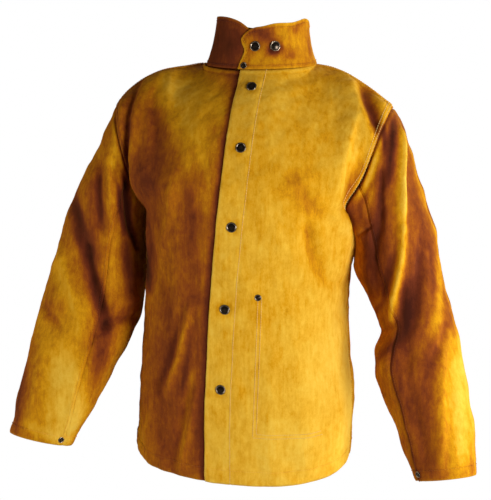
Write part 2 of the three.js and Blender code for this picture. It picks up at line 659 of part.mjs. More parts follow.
const SHADES = {
  back_panel: 0xb87a1e,
  front_panel_right: 0x9a5f1a,
  front_panel_left: 0xd99f24,
  collar: 0xc2851e,
  top_sleeve_left: 0xcf9322,
  under_sleeve_left: 0xb06f1c,
  top_sleeve_right: 0xcf9322,
  under_sleeve_right: 0xb06f1c,
};
const HOLES = {
  front_panel_right: frontSeats,
  front_panel_left: [...frontSeats, pocketSeat],
  collar: collarSeats,
  top_sleeve_left: [cuffSeats[0]],
  top_sleeve_right: [cuffSeats[1]],
};
for (const [name, geometry] of Object.entries(panels)) {
  add(name, HOLES[name] ? punched(geometry, HOLES[name]) : geometry, leather(SHADES[name]));
}
for (const seat of [...frontSeats, ...collarSeats, pocketSeat, ...cuffSeats]) {
  add(seat.name, fastenerGeometry(seat.size, seat.stack).applyMatrix4(seat.place), blackened);
}

export default jacket;
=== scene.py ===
# %% [markdown]
# # A suede welding jacket
# The jacket is sewn from golden split cowhide: two fronts that lap and snap shut, a back, two-piece sleeves
# and a stand collar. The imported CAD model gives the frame, the size and the names. Each leather panel is made
# again here as a fine surface over its plain solid, so that folds, welts and stitches can be real shapes.

import bpy
import numpy as np
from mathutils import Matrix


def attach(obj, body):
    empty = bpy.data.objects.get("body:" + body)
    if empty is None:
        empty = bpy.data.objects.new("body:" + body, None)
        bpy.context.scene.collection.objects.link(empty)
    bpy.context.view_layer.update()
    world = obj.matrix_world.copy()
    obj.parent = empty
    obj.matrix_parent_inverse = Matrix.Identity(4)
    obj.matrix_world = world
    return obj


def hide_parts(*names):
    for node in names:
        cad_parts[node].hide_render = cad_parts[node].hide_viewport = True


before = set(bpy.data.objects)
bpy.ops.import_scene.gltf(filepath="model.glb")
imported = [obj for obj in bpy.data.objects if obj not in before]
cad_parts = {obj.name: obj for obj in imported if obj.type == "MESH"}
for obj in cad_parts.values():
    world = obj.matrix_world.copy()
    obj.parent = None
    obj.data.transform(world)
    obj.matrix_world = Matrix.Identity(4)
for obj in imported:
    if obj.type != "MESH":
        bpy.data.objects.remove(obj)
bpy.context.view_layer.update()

MM = 0.001


# %% [markdown]
# ## Camera, light and floor
# The picture was taken from a little to the jacket's left and a little above, with a long lens. The light is
# one large soft source on the viewer's right, with weaker ones at that side, on the left and behind. The
# floor lies far below, because the jacket hangs. It looks white to the camera and is grey to the light, so
# that it doesn't brighten the folds.

# %% Camera
def unit(vectors):
    """Vectors brought to length 1."""
    return vectors / (np.linalg.norm(vectors, axis=-1, keepdims=True) + 1e-12)


def aim(origin, target):
    """Matrix of a camera or lamp at origin whose own -Z looks at target, with Z up in the picture."""
    away = unit(origin - target)
    right = unit(np.cross((0.0, 0.0, 1.0), away))
    matrix = np.eye(4)
    matrix[:3, 0], matrix[:3, 1], matrix[:3, 2] = right, np.cross(away, right), away
    matrix[:3, 3] = origin
    return matrix.T.tolist()


def toward(azimuth, elevation):
    """Unit vector towards a place seen from the front: azimuth to the jacket's left, elevation upwards."""
    a, e = np.radians([azimuth, elevation])
    return np.array([np.sin(a) * np.cos(e), -np.cos(a) * np.cos(e), np.sin(e)])


TARGET = np.array([-0.0113, 0.0, -0.3316])
LENS, SENSOR_WIDTH = 83.74, 36.0  # millimetres
CAMERA_AZIMUTH, CAMERA_ELEVATION, CAMERA_DISTANCE = 13, 11, 2.08
camera = bpy.data.objects.new("camera", bpy.data.cameras.new("camera"))
camera.data.lens, camera.data.sensor_width = LENS, SENSOR_WIDTH
camera.matrix_world = aim(TARGET + CAMERA_DISTANCE * toward(CAMERA_AZIMUTH, CAMERA_ELEVATION), TARGET)
bpy.context.collection.objects.link(camera)
bpy.context.scene.camera = camera
print("camera at", [round(v, 3) for v in camera.matrix_world.translation])


# %% Lamps
LAMPS = {  # azimuth, elevation, distance, width, power, colour
    "key_lamp": (50, 4, 2.1, 0.9, 38, (1.0, 0.95, 0.86)),
    "side_lamp": (104, -4, 1.9, 0.8, 16, (1.0, 0.95, 0.84)),
    "fill_lamp": (-66, -6, 1.9, 1.0, 15, (1.0, 0.93, 0.82)),
    "back_lamp": (172, 35, 2.4, 1.4, 30, (1.0, 0.96, 0.9)),
}
for name, (azimuth, elevation, distance, width, power, colour) in LAMPS.items():
    lamp = bpy.data.objects.new(name, bpy.data.lights.new(name, "AREA"))
    lamp.data.size, lamp.data.energy, lamp.data.color = width, power, colour
    lamp.matrix_world = aim(TARGET + distance * toward(azimuth, elevation), TARGET)
    bpy.context.collection.objects.link(lamp)
print("lamps:", ", ".join(LAMPS))


# %% Node trees
def add_node(tree, kind, inputs=None, **settings):
    """A new node with its settings. Each input is given as a plain value or as a socket to link to it."""
    made = tree.nodes.new(kind)
    for key, value in settings.items():
        setattr(made, key, value)
    for key, value in (inputs or {}).items():
        if isinstance(value, bpy.types.NodeSocket):
            tree.links.new(value, made.inputs[key])
        else:
            made.inputs[key].default_value = value
    return made


def empty_tree(owner):
    """The emptied node tree of a material or world."""
    owner.use_nodes = True
    owner.node_tree.nodes.clear()
    return owner.node_tree


def new_material(name):
    """A material and its emptied node tree."""
    material = bpy.data.materials.new(name)
    return material, empty_tree(material)


def white_to_camera(tree, white_kind, other):
    """A shader that camera rays see as plain white and all other rays as another shader."""
    ray = add_node(tree, "ShaderNodeLightPath").outputs["Is Camera Ray"]
    white = add_node(tree, white_kind, {"Color": (1, 1, 1, 1)}).outputs[0]
    return add_node(tree, "ShaderNodeMixShader", {0: ray, 1: other.outputs[0], 2: white}).outputs[0]


# %% World
WORLD_COLOUR, WORLD_STRENGTH = (1.0, 0.72, 0.52, 1), 0.05
world = bpy.data.worlds.new("studio")
bpy.context.scene.world = world
tree = empty_tree(world)
dim = add_node(tree, "ShaderNodeBackground", {"Color": WORLD_COLOUR, "Strength": WORLD_STRENGTH})
add_node(tree, "ShaderNodeOutputWorld", {"Surface": white_to_camera(tree, "ShaderNodeBackground", dim)})
bpy.context.scene.view_settings.view_transform = "Standard"
print("world:", world.name)


# %% Meshes and the floor
def mesh_object(name, points, faces, *materials, **attributes):
    """A smooth mesh object: points in millimetres, lists of faces with equal numbers of corners, materials,
    and named values at the points."""
    mesh = bpy.data.meshes.new(name)
    points = np.asarray(points, float).reshape(-1, 3)
    corners = np.concatenate([np.ravel(part) for part in faces])
    counts = np.concatenate([np.full(len(part), np.shape(part)[1]) for part in faces])
    mesh.vertices.add(len(points))
    mesh.vertices.foreach_set("co", (points * MM).astype(np.float32).ravel())
    mesh.loops.add(len(corners))
    mesh.loops.foreach_set("vertex_index", corners.astype(np.int32))
    mesh.polygons.add(len(counts))
    mesh.polygons.foreach_set("loop_start", (np.cumsum(counts) - counts).astype(np.int32))
    mesh.polygons.foreach_set("use_smooth", np.ones(len(counts), bool))
    mesh.update(calc_edges=True)
    for material in materials:
        mesh.materials.append(material)
    for key, values in attributes.items():
        layer = mesh.attributes.new(key, "FLOAT", "POINT")
        layer.data.foreach_set("value", np.asarray(values, np.float32).ravel())
    piece = bpy.data.objects.new(name, mesh)
    bpy.context.collection.objects.link(piece)
    return piece


FLOOR_Z, FLOOR_HALF = -1450, 12000
FLOOR_GREY = (0.45, 0.43, 0.4, 1)
floor_paint, tree = new_material("floor_paint")
grey = add_node(tree, "ShaderNodeBsdfDiffuse", {"Color": FLOOR_GREY})
add_node(tree, "ShaderNodeOutputMaterial", {"Surface": white_to_camera(tree, "ShaderNodeEmission", grey)})
corners = [(-1, -1), (1, -1), (1, 1), (-1, 1)]
floor_points = [(x * FLOOR_HALF, y * FLOOR_HALF, FLOOR_Z) for x, y in corners]
floor = mesh_object("floor", floor_points, [[[0, 1, 2, 3]]], floor_paint)
print("floor at", FLOOR_Z * MM, "m")


# %% [markdown]
# ## The plain form
# A jacket on a body is a set of cross-sections: rows from hem to shoulder for the trunk, and rings from the
# armhole to the cuff for a sleeve. The tables below are the same ones that the solids were made from, apart
# from the collar's rim and the armholes' pull. Every column is read on a curve that passes smoothly through
# its rows, so a few sections give a fine skin.

# %% Reading tables
def smooth(start, end, value):
    """Cubic step from 0 at start to 1 at end."""
    t = np.clip((np.asarray(value, float) - start) / (end - start), 0, 1)
    return t * t * (3 - 2 * t)


def bell(value, centre, width):
    """Bell curve: 1 at the centre, exp(-1) one width away."""
    return np.exp(-(((value - centre) / width) ** 2))


def read(rows, place, column):
    """Cubic through a table's column: each slope is the one between the rows before and after."""
    rows, place = np.asarray(rows, float), np.asarray(place, float)
    x, y = rows[:, 0], rows[:, column]
    before, after = np.maximum(np.arange(len(x)) - 1, 0), np.minimum(np.arange(len(x)) + 1, len(x) - 1)
    slope = (y[after] - y[before]) / (x[after] - x[before])
    i = np.clip(np.searchsorted(x, place) - 1, 0, len(x) - 2)
    span = x[i + 1] - x[i]
    t = (place - x[i]) / span
    bend = t * (1 - t) ** 2 * span * slope[i] + t * t * (t - 1) * span * slope[i + 1]
    return y[i] + (y[i + 1] - y[i]) * t * t * (3 - 2 * t) + bend


# %% Trunk tables
WALL, SEAM_GAP, LAP_LIFT, LAP_WIDTH = 2.0, 0.5, 1.7, 48.0  # millimetres, like all tables here
NECK_HALF, NECK_Y, NECK_OFFSET, NECK_SHARE = 98.5, 30.0, 14.5, 0.45  # half width, place, share of a row
HEM_TILT, HEM_TILT_TOP = 0.03, 0.5  # the hem hangs lower on the left, up to a level
SECTION_POWER = 2.35
ARM_X, ARM_Y, ARM_Z = 187, 5.0, -166  # x of the armpit, y and z of the armhole's middle
ARM_LEAN, ARM_DEPTH, ARM_HEIGHT, ARM_POWER = 58, 72, 92, 1.1  # outward lean, half depth, half height
ARMHOLE_PULL = {"left": (-16, -24, 232, 26), "right": (3, 6, 205, 35)}  # x, y, round which angle, its width
# Height at the neck, even share of the fall, power of the rest
SHOULDERS = {"left": (-3.5, 0.0, 1.65), "right": (-3.5, 0.3, 4.0)}
HALF_X, SHIFT_X, SIDE_Z, FRONT_Y, FRONT_Z, BACK_Y, BACK_Z = range(1, 8)
BODY_ROWS = [  # level, half width, sideways shift, side height, front y and z, back y and z
    (0.00, 195, -15, -697, -158, -712, 140, -706),
    (0.25, 194, -10, -590, -156, -600, 138, -596),
    (0.50, 185, -10, -481, -152, -487, 134, -484),
    (0.75, 182, -7, -370, -150, -373, 134, -372),
    (1.00, 187, 0, -258, -149, -258, 137, -258),
    (1.25, 187, 0, -258, -142, -190, 138, -186),
    (1.50, 187, 0, -258, -122, -124, 134, -116),
    (1.75, 187, 0, -258, -90, -64, 122, -50),
    (2.00, 187, 0, -258, -48, -12, 108, 3),
]
FRONT_EDGE = [  # level and x of the upper front's edge
    (0, -47), (0.25, -47.5), (0.5, -43.5), (0.75, -37), (1, -26.5), (1.3, -19), (2, -9),
]


# %% Trunk surface
def vec(x, y, z):
    """Stacks three arrays into points."""
    return np.stack(np.broadcast_arrays(x, y, z), -1)


def armhole(degrees):
    """Tilted oval of the left armhole: 90 degrees is the shoulder tip, 180 the front, 270 the armpit."""
    turn = np.radians(degrees)
    climb = ((1 + np.sin(turn)) / 2) ** ARM_POWER
    return vec(ARM_X + ARM_LEAN * climb, ARM_Y + ARM_DEPTH * np.cos(turn), ARM_Z + ARM_HEIGHT * np.sin(turn))


def armhole_pull(side, degrees):
    """How far an armhole's lower front is drawn out of its oval: a bell of the angle, ended at the armpit."""
    x, y, centre, width = ARMHOLE_PULL[side]
    pull = bell(degrees, centre, width) * smooth(270, 250, degrees)
    return vec(x * pull, y * pull, 0.0)


def trunk(face, across, level):
    """Half rows from the middle of the chest or back to the side seam or the armhole. A plain row is a
    squared oval (x is a sine, y and z a superellipse of it). The shoulder row runs round the neck as a
    quarter oval and then out along the shoulder. The rows between blend the two, with the neck's corner
    softened."""
    across, level = np.broadcast_arrays(np.asarray(across, float), np.asarray(level, float))
    u, upper = np.abs(across), level > 1
    climb = -90 + 180 * (level - 1)
    angle = 180 - climb if face == "front" else climb
    pulled = np.where((across < 0)[..., None], armhole_pull("right", angle), armhole_pull("left", angle))
    arm = armhole(angle) + pulled
    seam = vec(read(BODY_ROWS, level, HALF_X), ARM_Y, read(BODY_ROWS, level, SIDE_Z))
    end = np.where(upper[..., None], arm, seam)
    middle = vec(
        0.0,
        read(BODY_ROWS, level, FRONT_Y if face == "front" else BACK_Y),
        read(BODY_ROWS, level, FRONT_Z if face == "front" else BACK_Z),
    )
    x = np.sin(np.pi / 2 * np.minimum(u, 1))
    y = 1 - (1 - x**SECTION_POWER) ** (1 / SECTION_POWER)
    plain = vec(x, y, y)
    reach = end - middle
    reach = np.where(np.abs(reach) < 1e-6, 1e-6, reach)
    neck_z, even, power = (np.where(across < 0, r, l) for l, r in zip(SHOULDERS["left"], SHOULDERS["right"]))
    corner = (vec(NECK_HALF, NECK_Y, neck_z) - middle) / reach

    def shoulder_row(u):
        turn = np.pi / 2 * np.minimum(u / NECK_SHARE, 1)
        round_neck = corner * vec(np.sin(turn), 1 - np.cos(turn), 1 - np.cos(turn))
        t = np.clip((u - NECK_SHARE) / (1 - NECK_SHARE), 0, 1)
        out = corner + (1 - corner) * vec(t, t, even * t + (1 - even) * t**power)
        return np.where((u < NECK_SHARE)[..., None], round_neck, out)

    soft = 0.1 * smooth(2, 1.85, level) * smooth(0, 0.2, u) * smooth(1, 0.8, u)
    shoulder = sum(shoulder_row(u + k * soft) for k in (-1, -0.5, 0, 0.5, 1)) / 5
    top = smooth(1.2, 2, level)[..., None]
    share = np.where(top > 0, plain + (shoulder - plain) * top, plain)
    offset = NECK_OFFSET * smooth(1, 2, level) * (1 - share[..., 0])
    shift = np.where(upper, 0.0, read(BODY_ROWS, level, SHIFT_X))
    side = np.where(across < 0, -1.0, 1.0)
    x = offset + shift + side * end[..., 0] * share[..., 0]
    tilt = HEM_TILT * x * smooth(HEM_TILT_TOP, 0, level)
    return vec(
        x,
        middle[..., 1] + (end[..., 1] - middle[..., 1]) * share[..., 1],
        middle[..., 2] + (end[..., 2] - middle[..., 2]) * share[..., 2] - tilt,
    )


# %% Places across the fronts
def across_at(level, x):
    """The place across front rows where x has a given value, by halving the interval forty times."""
    low, high = np.full(np.shape(level), -0.6), np.full(np.shape(level), 0.6)
    for _ in range(40):
        middle = (low + high) / 2
        below = trunk("front", middle, level)[..., 0] < x
        low, high = np.where(below, middle, low), np.where(below, high, middle)
    return (low + high) / 2


print("chest row is", round(float(trunk("front", 1.0, 1.0)[0] - trunk("front", -1.0, 1.0)[0])), "mm wide")

# %% Sleeve tables
OUTER_X, OUTER_Z, INNER_X, INNER_Z, MID_Y, HALF_DEPTH = range(1, 7)
SLEEVE_ROWS = {  # along, outer x and z, inner x and z, middle y, half depth
    "left": [
        (0.00, 245, -74, 187, -258, 5, 72),
        (0.10, 266, -112, 191, -276, 5, 77),
        (0.23, 289, -185, 189, -306, 2, 80),
        (0.38, 322, -275, 187, -352, -6, 79),
        (0.50, 339, -350, 212, -402, -18, 77),
        (0.62, 361, -425, 239, -456, -36, 75),
        (0.68, 371, -461, 231, -492, -47, 73),
        (0.75, 383, -505, 235, -536, -62, 70),
        (0.88, 402, -592, 277, -618, -90, 61),
        (1.00, 411, -674, 310, -693, -113, 49),
    ],
    "right": [
        (0.00, 245, -74, 187, -258, 5, 72),
        (0.10, 264, -112, 193, -276, 5, 77),
        (0.16, 276, -145, 195, -290, 4, 79),
        (0.23, 301, -185, 196, -306, 3, 80),
        (0.38, 343, -275, 197, -352, -2, 80),
        (0.50, 363, -350, 198, -402, -12, 78),
        (0.62, 382, -425, 205, -460, -32, 75),
        (0.75, 396, -505, 238, -536, -60, 70),
        (0.88, 411, -592, 275, -614, -90, 61),
        (1.00, 424, -665, 310, -684, -113, 49),
    ],
}
SEAM_FRONT, SEAM_BACK = 203, 330  # degrees round the sleeve: 90 outer, 180 front, 270 inner
SLEEVE_TWIST, TWIST_POWER = 40, 4  # degrees by which the seams have wound inwards at the cuff
CAP_BLEND, ARMHOLE_TRIM = 0.34, 0.0005
PITCH_RUN, CUFF_PITCH, CUFF_AT = 700, -0.28, 0.99  # rings tilt with the arm's slope, the cuff by its own


# %% Sleeve surface
def sleeve_tube(side, degrees, along):
    """Rings about a centre line: the half width turned by sine, and a backward half depth by cosine."""
    rows = SLEEVE_ROWS[side]
    turn = np.radians(degrees)
    inner = vec(read(rows, along, INNER_X), 0.0, read(rows, along, INNER_Z))
    half = (vec(read(rows, along, OUTER_X), 0.0, read(rows, along, OUTER_Z)) - inner) / 2
    mid_y = read(rows, along, MID_Y)
    slope = (read(rows, np.minimum(1, along + 0.01), MID_Y) - mid_y) / 0.01
    pitch = np.where(along < CUFF_AT, slope / PITCH_RUN, CUFF_PITCH)
    backwards = unit(vec(0.0, 1.0, pitch)) * (read(rows, along, HALF_DEPTH) * np.cos(turn))[..., None]
    return inner + half + half * np.sin(turn)[..., None] + backwards + vec(0.0, mid_y, 0.0)


def sleeve(side, degrees, along):
    """The tube, with the armhole's difference from its first ring fading out as a square, and its pull."""
    degrees, along = np.broadcast_arrays(np.asarray(degrees, float), np.asarray(along, float))
    left = (1 - np.minimum(1, along / CAP_BLEND))[..., None]
    start = armhole(degrees) - sleeve_tube(side, degrees, np.zeros_like(along))
    pulled = armhole_pull(side, degrees) * smooth(0, 1, left)
    points = sleeve_tube(side, degrees, along) + start * left**2 + pulled
    return points * ((1, 1, 1) if side == "left" else (-1, 1, 1))


def twist(along):
    """Degrees by which the seams have wound at a place along the sleeve: a fourth power of it."""
    return SLEEVE_TWIST * along**TWIST_POWER


# %% Collar surface
COLLAR_RIGHT, COLLAR_LEFT = 18, -376  # degrees round the neck of its lower and its upper end
COLLAR_TOP = [  # degrees round the neck, height
    (-376, 50), (-370, 61), (-362, 68.5), (-350, 71.5), (-335, 75.5), (-312, 75.5), (-298, 78.5),
    (-288, 80), (-275, 76), (-250, 65), (-180, 52), (-115, 68), (-88, 80), (-66, 84), (-45, 85.5),
    (-30, 83.5), (-18, 78), (-8, 68), (2, 54), (18, 46),
]


def neck_seam(turn):
    """The shoulder row of the trunk round the neck: 0 degrees is the front, positive the jacket's left."""
    signed = (turn + 540) % 360 - 180
    folded, side = np.abs(signed), np.where(signed < 0, -1.0, 1.0)
    front = trunk("front", side * NECK_SHARE * np.minimum(folded, 90) / 90, 2.0)
    rear = trunk("back", side * NECK_SHARE * np.minimum(180 - folded, 90) / 90, 2.0)
    return np.where((folded <= 90)[..., None], front, rear)


def collar_band(turn, up):
    """Rises from the neck seam by the height of its table and narrows upwards as 1 - (1 - up) squared. The
    two ends part outwards and inwards where they lap."""
    turn, up = np.broadcast_arrays(np.asarray(turn, float), np.asarray(up, float))
    base = neck_seam(turn)
    reach = (base - (NECK_OFFSET, NECK_Y, 0)) * (1, 1, 0)
    facing = np.cos(np.radians(turn))
    height = read(COLLAR_TOP, np.clip(turn, COLLAR_LEFT, COLLAR_RIGHT), 1)
    lean = 1 - (1 - up) ** 2
    lapped = 1 - 2 * smooth(COLLAR_LEFT + 80, COLLAR_RIGHT - 80, turn)
    foot = SEAM_GAP + LAP_LIFT * smooth(0.2, 0.9, facing)
    points = base - reach * vec((0.15 + 0.035 * bell(turn, -80, 35)) * lean, 0.1 * lean, 0.0)
    return points + vec(0.0, 0.0, foot + height * up) + unit(reach) * (lapped * LAP_LIFT)[..., None]


print("collar top at", round(float(collar_band(-180.0, 1.0)[2])), "mm behind the neck")


# %% [markdown]
# ## Folds
# Leather this thick doesn't crumple finely: it bends in a few long, soft ridges and valleys that start where
# it is held, at the shoulders, armpits and elbows. Each fold is one row of a table: a bent line through three
# points, a width and a height. Rows of the same kind make the nap darker or paler: partly the leather's own
# tone, partly painted shade in crevices, hollows and valleys and painted highlights where the light falls.

# %% Bent lines
def near_line(x, y, start, middle, end, steps=20):
    """Distance of points from a quadratic curve through three points, the side they are on, and how far along
    it they are, measured on the nearest of a number of short straight steps."""
    t = np.linspace(0, 1, steps + 1)[:, None]
    bent = (1 - t) ** 2 * start + 2 * t * (1 - t) * (2 * middle - (start + end) / 2) + t**2 * end
    first, step = bent[:-1], np.diff(bent, axis=0)
    off = np.stack([x, y], -1)[..., None, :] - first
    share = np.clip((off * step).sum(-1) / (step**2).sum(-1), 0, 1)
    gap = np.linalg.norm(off - share[..., None] * step, axis=-1)
    side = np.sign(step[:, 0] * off[..., 1] - step[:, 1] * off[..., 0])
    best = gap.argmin(-1)[..., None]
    pick = lambda values: np.take_along_axis(values, best, -1)[..., 0]
    return pick(gap), pick(side), (best[..., 0] + pick(share)) / steps


def folds(x, y, rows, scale=(1, 1)):
    """Sum of soft ridges and valleys: a bell of the distance from each row's line, lower towards the line's
    two ends. A row that has a lean is narrower on its left by that share."""
    total = np.zeros(np.shape(x))
    for x0, y0, xm, ym, x1, y1, width, rise, *lean in rows:
        bends = np.array([(x0, y0), (xm, ym), (x1, y1)]) * scale
        gap, side, along = near_line(x, y, *bends)
        taper = 1 - 0.55 * np.abs(2 * along - 1) ** 3
        total += rise * taper * bell(gap, 0, width * (1 - sum(lean) * side))
    return total


def ripple(points, size, seed, waves=20):
    """Smooth irregular waviness of about unit height: the sum of plane waves in seeded random directions,
    with lengths from 0.6 to 1.6 times a size."""
    rng = np.random.default_rng(seed)
    direction = rng.normal(size=(3, waves))
    direction /= np.linalg.norm(direction, axis=0)
    wave = 2 * np.pi / (size * rng.uniform(0.6, 1.6, waves))
    phase = rng.uniform(0, 2 * np.pi, waves)
    return np.cos(points @ (direction * wave) + phase).sum(-1) / np.sqrt(waves / 2)


# %% Fold tables of the trunk
# Three points (x, z) of the line, width, rise, and a lean if it has one
FRONT_FOLDS = [
    (172, -30, 196, -74, 222, -124, 16, 7, 0.5),
    (194, -38, 214, -78, 236, -124, 9, -9),
    (190, -86, 177, -156, 168, -232, 11, 6, 0.45),
    (202, -150, 190, -192, 178, -234, 8, -7),
    (166, -258, 180, -292, 172, -352, 15, 12, -0.15),
    (90, -168, 110, -198, 138, -246, 10, -2.5),
    (122, -258, 130, -312, 152, -368, 9, -5, 0.2),
    (140, -262, 148, -308, 166, -356, 9, 4),
    (166, -352, 152, -402, 146, -470, 14, -4),
    (108, -420, 116, -560, 126, -705, 20, 3),
    (60, -500, 64, -610, 70, -710, 18, 2.5),
    (172, -470, 178, -580, 172, -700, 15, 5),
    (-206, -38, -208, -110, -212, -200, 8, -7, 0.2),
    (-226, -66, -225, -100, -220, -140, 8, 5),
    (-196, -80, -195, -170, -190, -270, 10, 6),
    (-146, -24, -138, -66, -122, -112, 9, 4),
    (-166, -40, -164, -80, -150, -128, 9, -4),
    (-75, -405, -97, -490, -125, -572, 7, 5),
    (-90, -405, -114, -490, -142, -572, 9, -3),
    (-62, -545, -78, -625, -96, -700, 7, 5),
    (-74, -545, -92, -625, -112, -700, 8, -3),
    (-166, -290, -142, -360, -120, -445, 14, -5),
    (-104, -176, -118, -250, -138, -340, 12, 5),
    (-150, -90, -142, -150, -148, -215, 16, -5),
    (-160, -480, -166, -590, -160, -700, 16, 6),
]
BACK_FOLDS = [
    (120, -420, 128, -550, 138, -700, 24, 6),
    (10, -480, 2, -590, -6, -700, 26, 5),
    (-120, -400, -129, -550, -136, -700, 24, 6),
    (168, -120, 142, -210, 112, -310, 20, 8, 0.1),
    (-168, -120, -142, -210, -112, -310, 20, 8, -0.1),
    (150, -80, 95, -120, 30, -135, 18, 4),
    (-150, -80, -95, -120, -30, -135, 18, 4),
    (160, -310, 80, -350, 10, -352, 15, -2.5),
    (-160, -300, -90, -338, -20, -346, 15, -2),
    (60, -420, 66, -560, 70, -700, 22, -5),
    (-62, -420, -64, -560, -70, -700, 22, -5),
]

# %% Fold tables of the sleeves
# Three points (degrees round, share along) of the line, width, rise, and a lean if it has one
SLEEVE_UNIT = (460 / 360, 640)  # millimetres per degree round a sleeve, and its length
SLEEVE_FOLDS = {
    "left": [
        (108, 0.09, 134, 0.19, 157, 0.345, 9, 11, 0.3),
        (156, 0.335, 178, 0.47, 213, 0.59, 8, 11, 0.1),
        (166, 0.09, 177, 0.18, 187, 0.30, 10, -5, 0.1),
        (186, 0.24, 202, 0.36, 216, 0.50, 14, -7),
        (134, 0.40, 158, 0.52, 194, 0.655, 12, -7),
        (270, 0.615, 240, 0.620, 210, 0.612, 8, -3),
        (262, 0.20, 266, 0.32, 262, 0.44, 18, 3),
        (268, 0.665, 240, 0.690, 210, 0.750, 15, 5),
        (140, 0.68, 158, 0.82, 184, 0.99, 12, 7, 0.2),
        (190, 0.66, 198, 0.80, 208, 0.96, 16, -5),
        (126, 0.63, 142, 0.685, 156, 0.72, 9, -5),
        (228, 0.23, 214, 0.235, 200, 0.245, 6, -4),
    ],
    "right": [
        (116, 0.325, 148, 0.355, 180, 0.43, 15, -7),
        (176, 0.42, 196, 0.555, 224, 0.67, 11, -11, -0.1),
        (158, 0.13, 194, 0.24, 201, 0.46, 11, 7),
        (144, 0.18, 168, 0.23, 184, 0.32, 10, -6),
        (128, 0.46, 168, 0.58, 204, 0.72, 14, 8, 0.2),
        (126, 0.64, 146, 0.668, 172, 0.70, 7, -4),
        (244, 0.60, 222, 0.66, 204, 0.740, 8, -4),
        (266, 0.62, 240, 0.64, 214, 0.665, 10, -7),
        (262, 0.54, 244, 0.565, 226, 0.585, 12, 5),
        (198, 0.03, 214, 0.14, 246, 0.33, 10, -9),
        (150, 0.76, 164, 0.87, 172, 0.98, 16, 5),
        (206, 0.79, 222, 0.88, 236, 0.96, 7, 3),
    ],
}
REAR_FOLDS = [  # behind both sleeves
    (20, 0.20, 30, 0.34, 40, 0.48, 16, 6),
    (-10, 0.56, 20, 0.575, 48, 0.57, 11, -6),
    (30, 0.70, 36, 0.82, 40, 0.95, 18, 4),
]

# %% Nap and painted shade tables of the trunk
# Three points of the line, width, how much darker (above 0) or paler, and a lean if it has one. The rows mix
# the leather's own tone with painted shade in crevices and hollows and painted highlights.
# Each panel's base: partly its own tone, partly painted shade on the right front and the sleeves
NAP_AND_SHADE_BASE = {
    "front_panel_left": -0.15, "front_panel_right": 0.47, "back_panel": 0.1, "collar": 0.12,
    "top_sleeve_left": 0.55, "top_sleeve_right": 0.35, "under_sleeve_left": 0.42, "under_sleeve_right": 0.3,
}
TRUNK_NAP_AND_SHADE = {
    "front_panel_left": [
        # Painted shade in the hollow by the armhole, at the armpit and between the chest fold and the seam
        (194, -36, 214, -76, 236, -122, 12, 0.75),
        (206, -166, 192, -200, 178, -238, 7, 0.4),
        (178, -244, 186, -266, 188, -292, 7, 0.9),
        (90, -168, 110, -198, 138, -246, 10, 0.12),
        (100, -160, 112, -205, 122, -250, 34, 0.24),
        (122, -262, 130, -312, 152, -368, 8, 0.25),
        (150, -380, 160, -460, 166, -560, 22, -0.32),
        # Painted light along the side edge, against the shade of its curve
        (184, -400, 184, -540, 182, -700, 10, -0.3),
        (-20, -640, 70, -650, 160, -640, 60, -0.18),
        (120, -400, 110, -540, 112, -690, 80, -0.15),
    ],
    "front_panel_right": [
        (-170, -32, -105, -75, -45, -190, 32, -0.54),
        (-120, -35, -65, -50, -25, -95, 26, -0.42),
        (-172, -150, -168, -220, -176, -310, 34, 0.28),
        (-76, -185, -72, -250, -70, -330, 12, 0.25),
        (-78, -330, -74, -365, -72, -410, 22, 0.18),
        # Painted shadow in the crevice at the armhole and on the side under the sleeve
        (-228, -165, -221, -225, -212, -310, 12, 0.6),
        (-178, -325, -174, -355, -168, -388, 13, 0.95),
        (-160, -400, -165, -440, -170, -480, 18, -0.2),
        (-72, -440, -80, -500, -92, -560, 7, 0.34),
        (-70, -520, -84, -605, -100, -690, 6, -0.24),
        (-58, -430, -62, -560, -60, -690, 9, 0.22),
        (-190, -640, -190, -670, -188, -700, 20, -0.3),
        (-82, -125, -66, -165, -50, -205, 10, 0.25),
        (-203, -100, -205, -150, -208, -200, 5, 0.45),
        (-138, -565, -115, -500, -92, -425, 8, 0.12),
        (-77, -425, -97, -495, -122, -565, 5, -0.16),
        (-150, -340, -140, -380, -128, -420, 14, -0.15),
        (-125, -440, -125, -540, -112, -670, 50, 0.2),
    ],
    "back_panel": [
        (-60, -60, -10, -200, 20, -330, 60, -0.25),
        (120, -380, 100, -540, 110, -690, 50, 0.25),
    ],
}
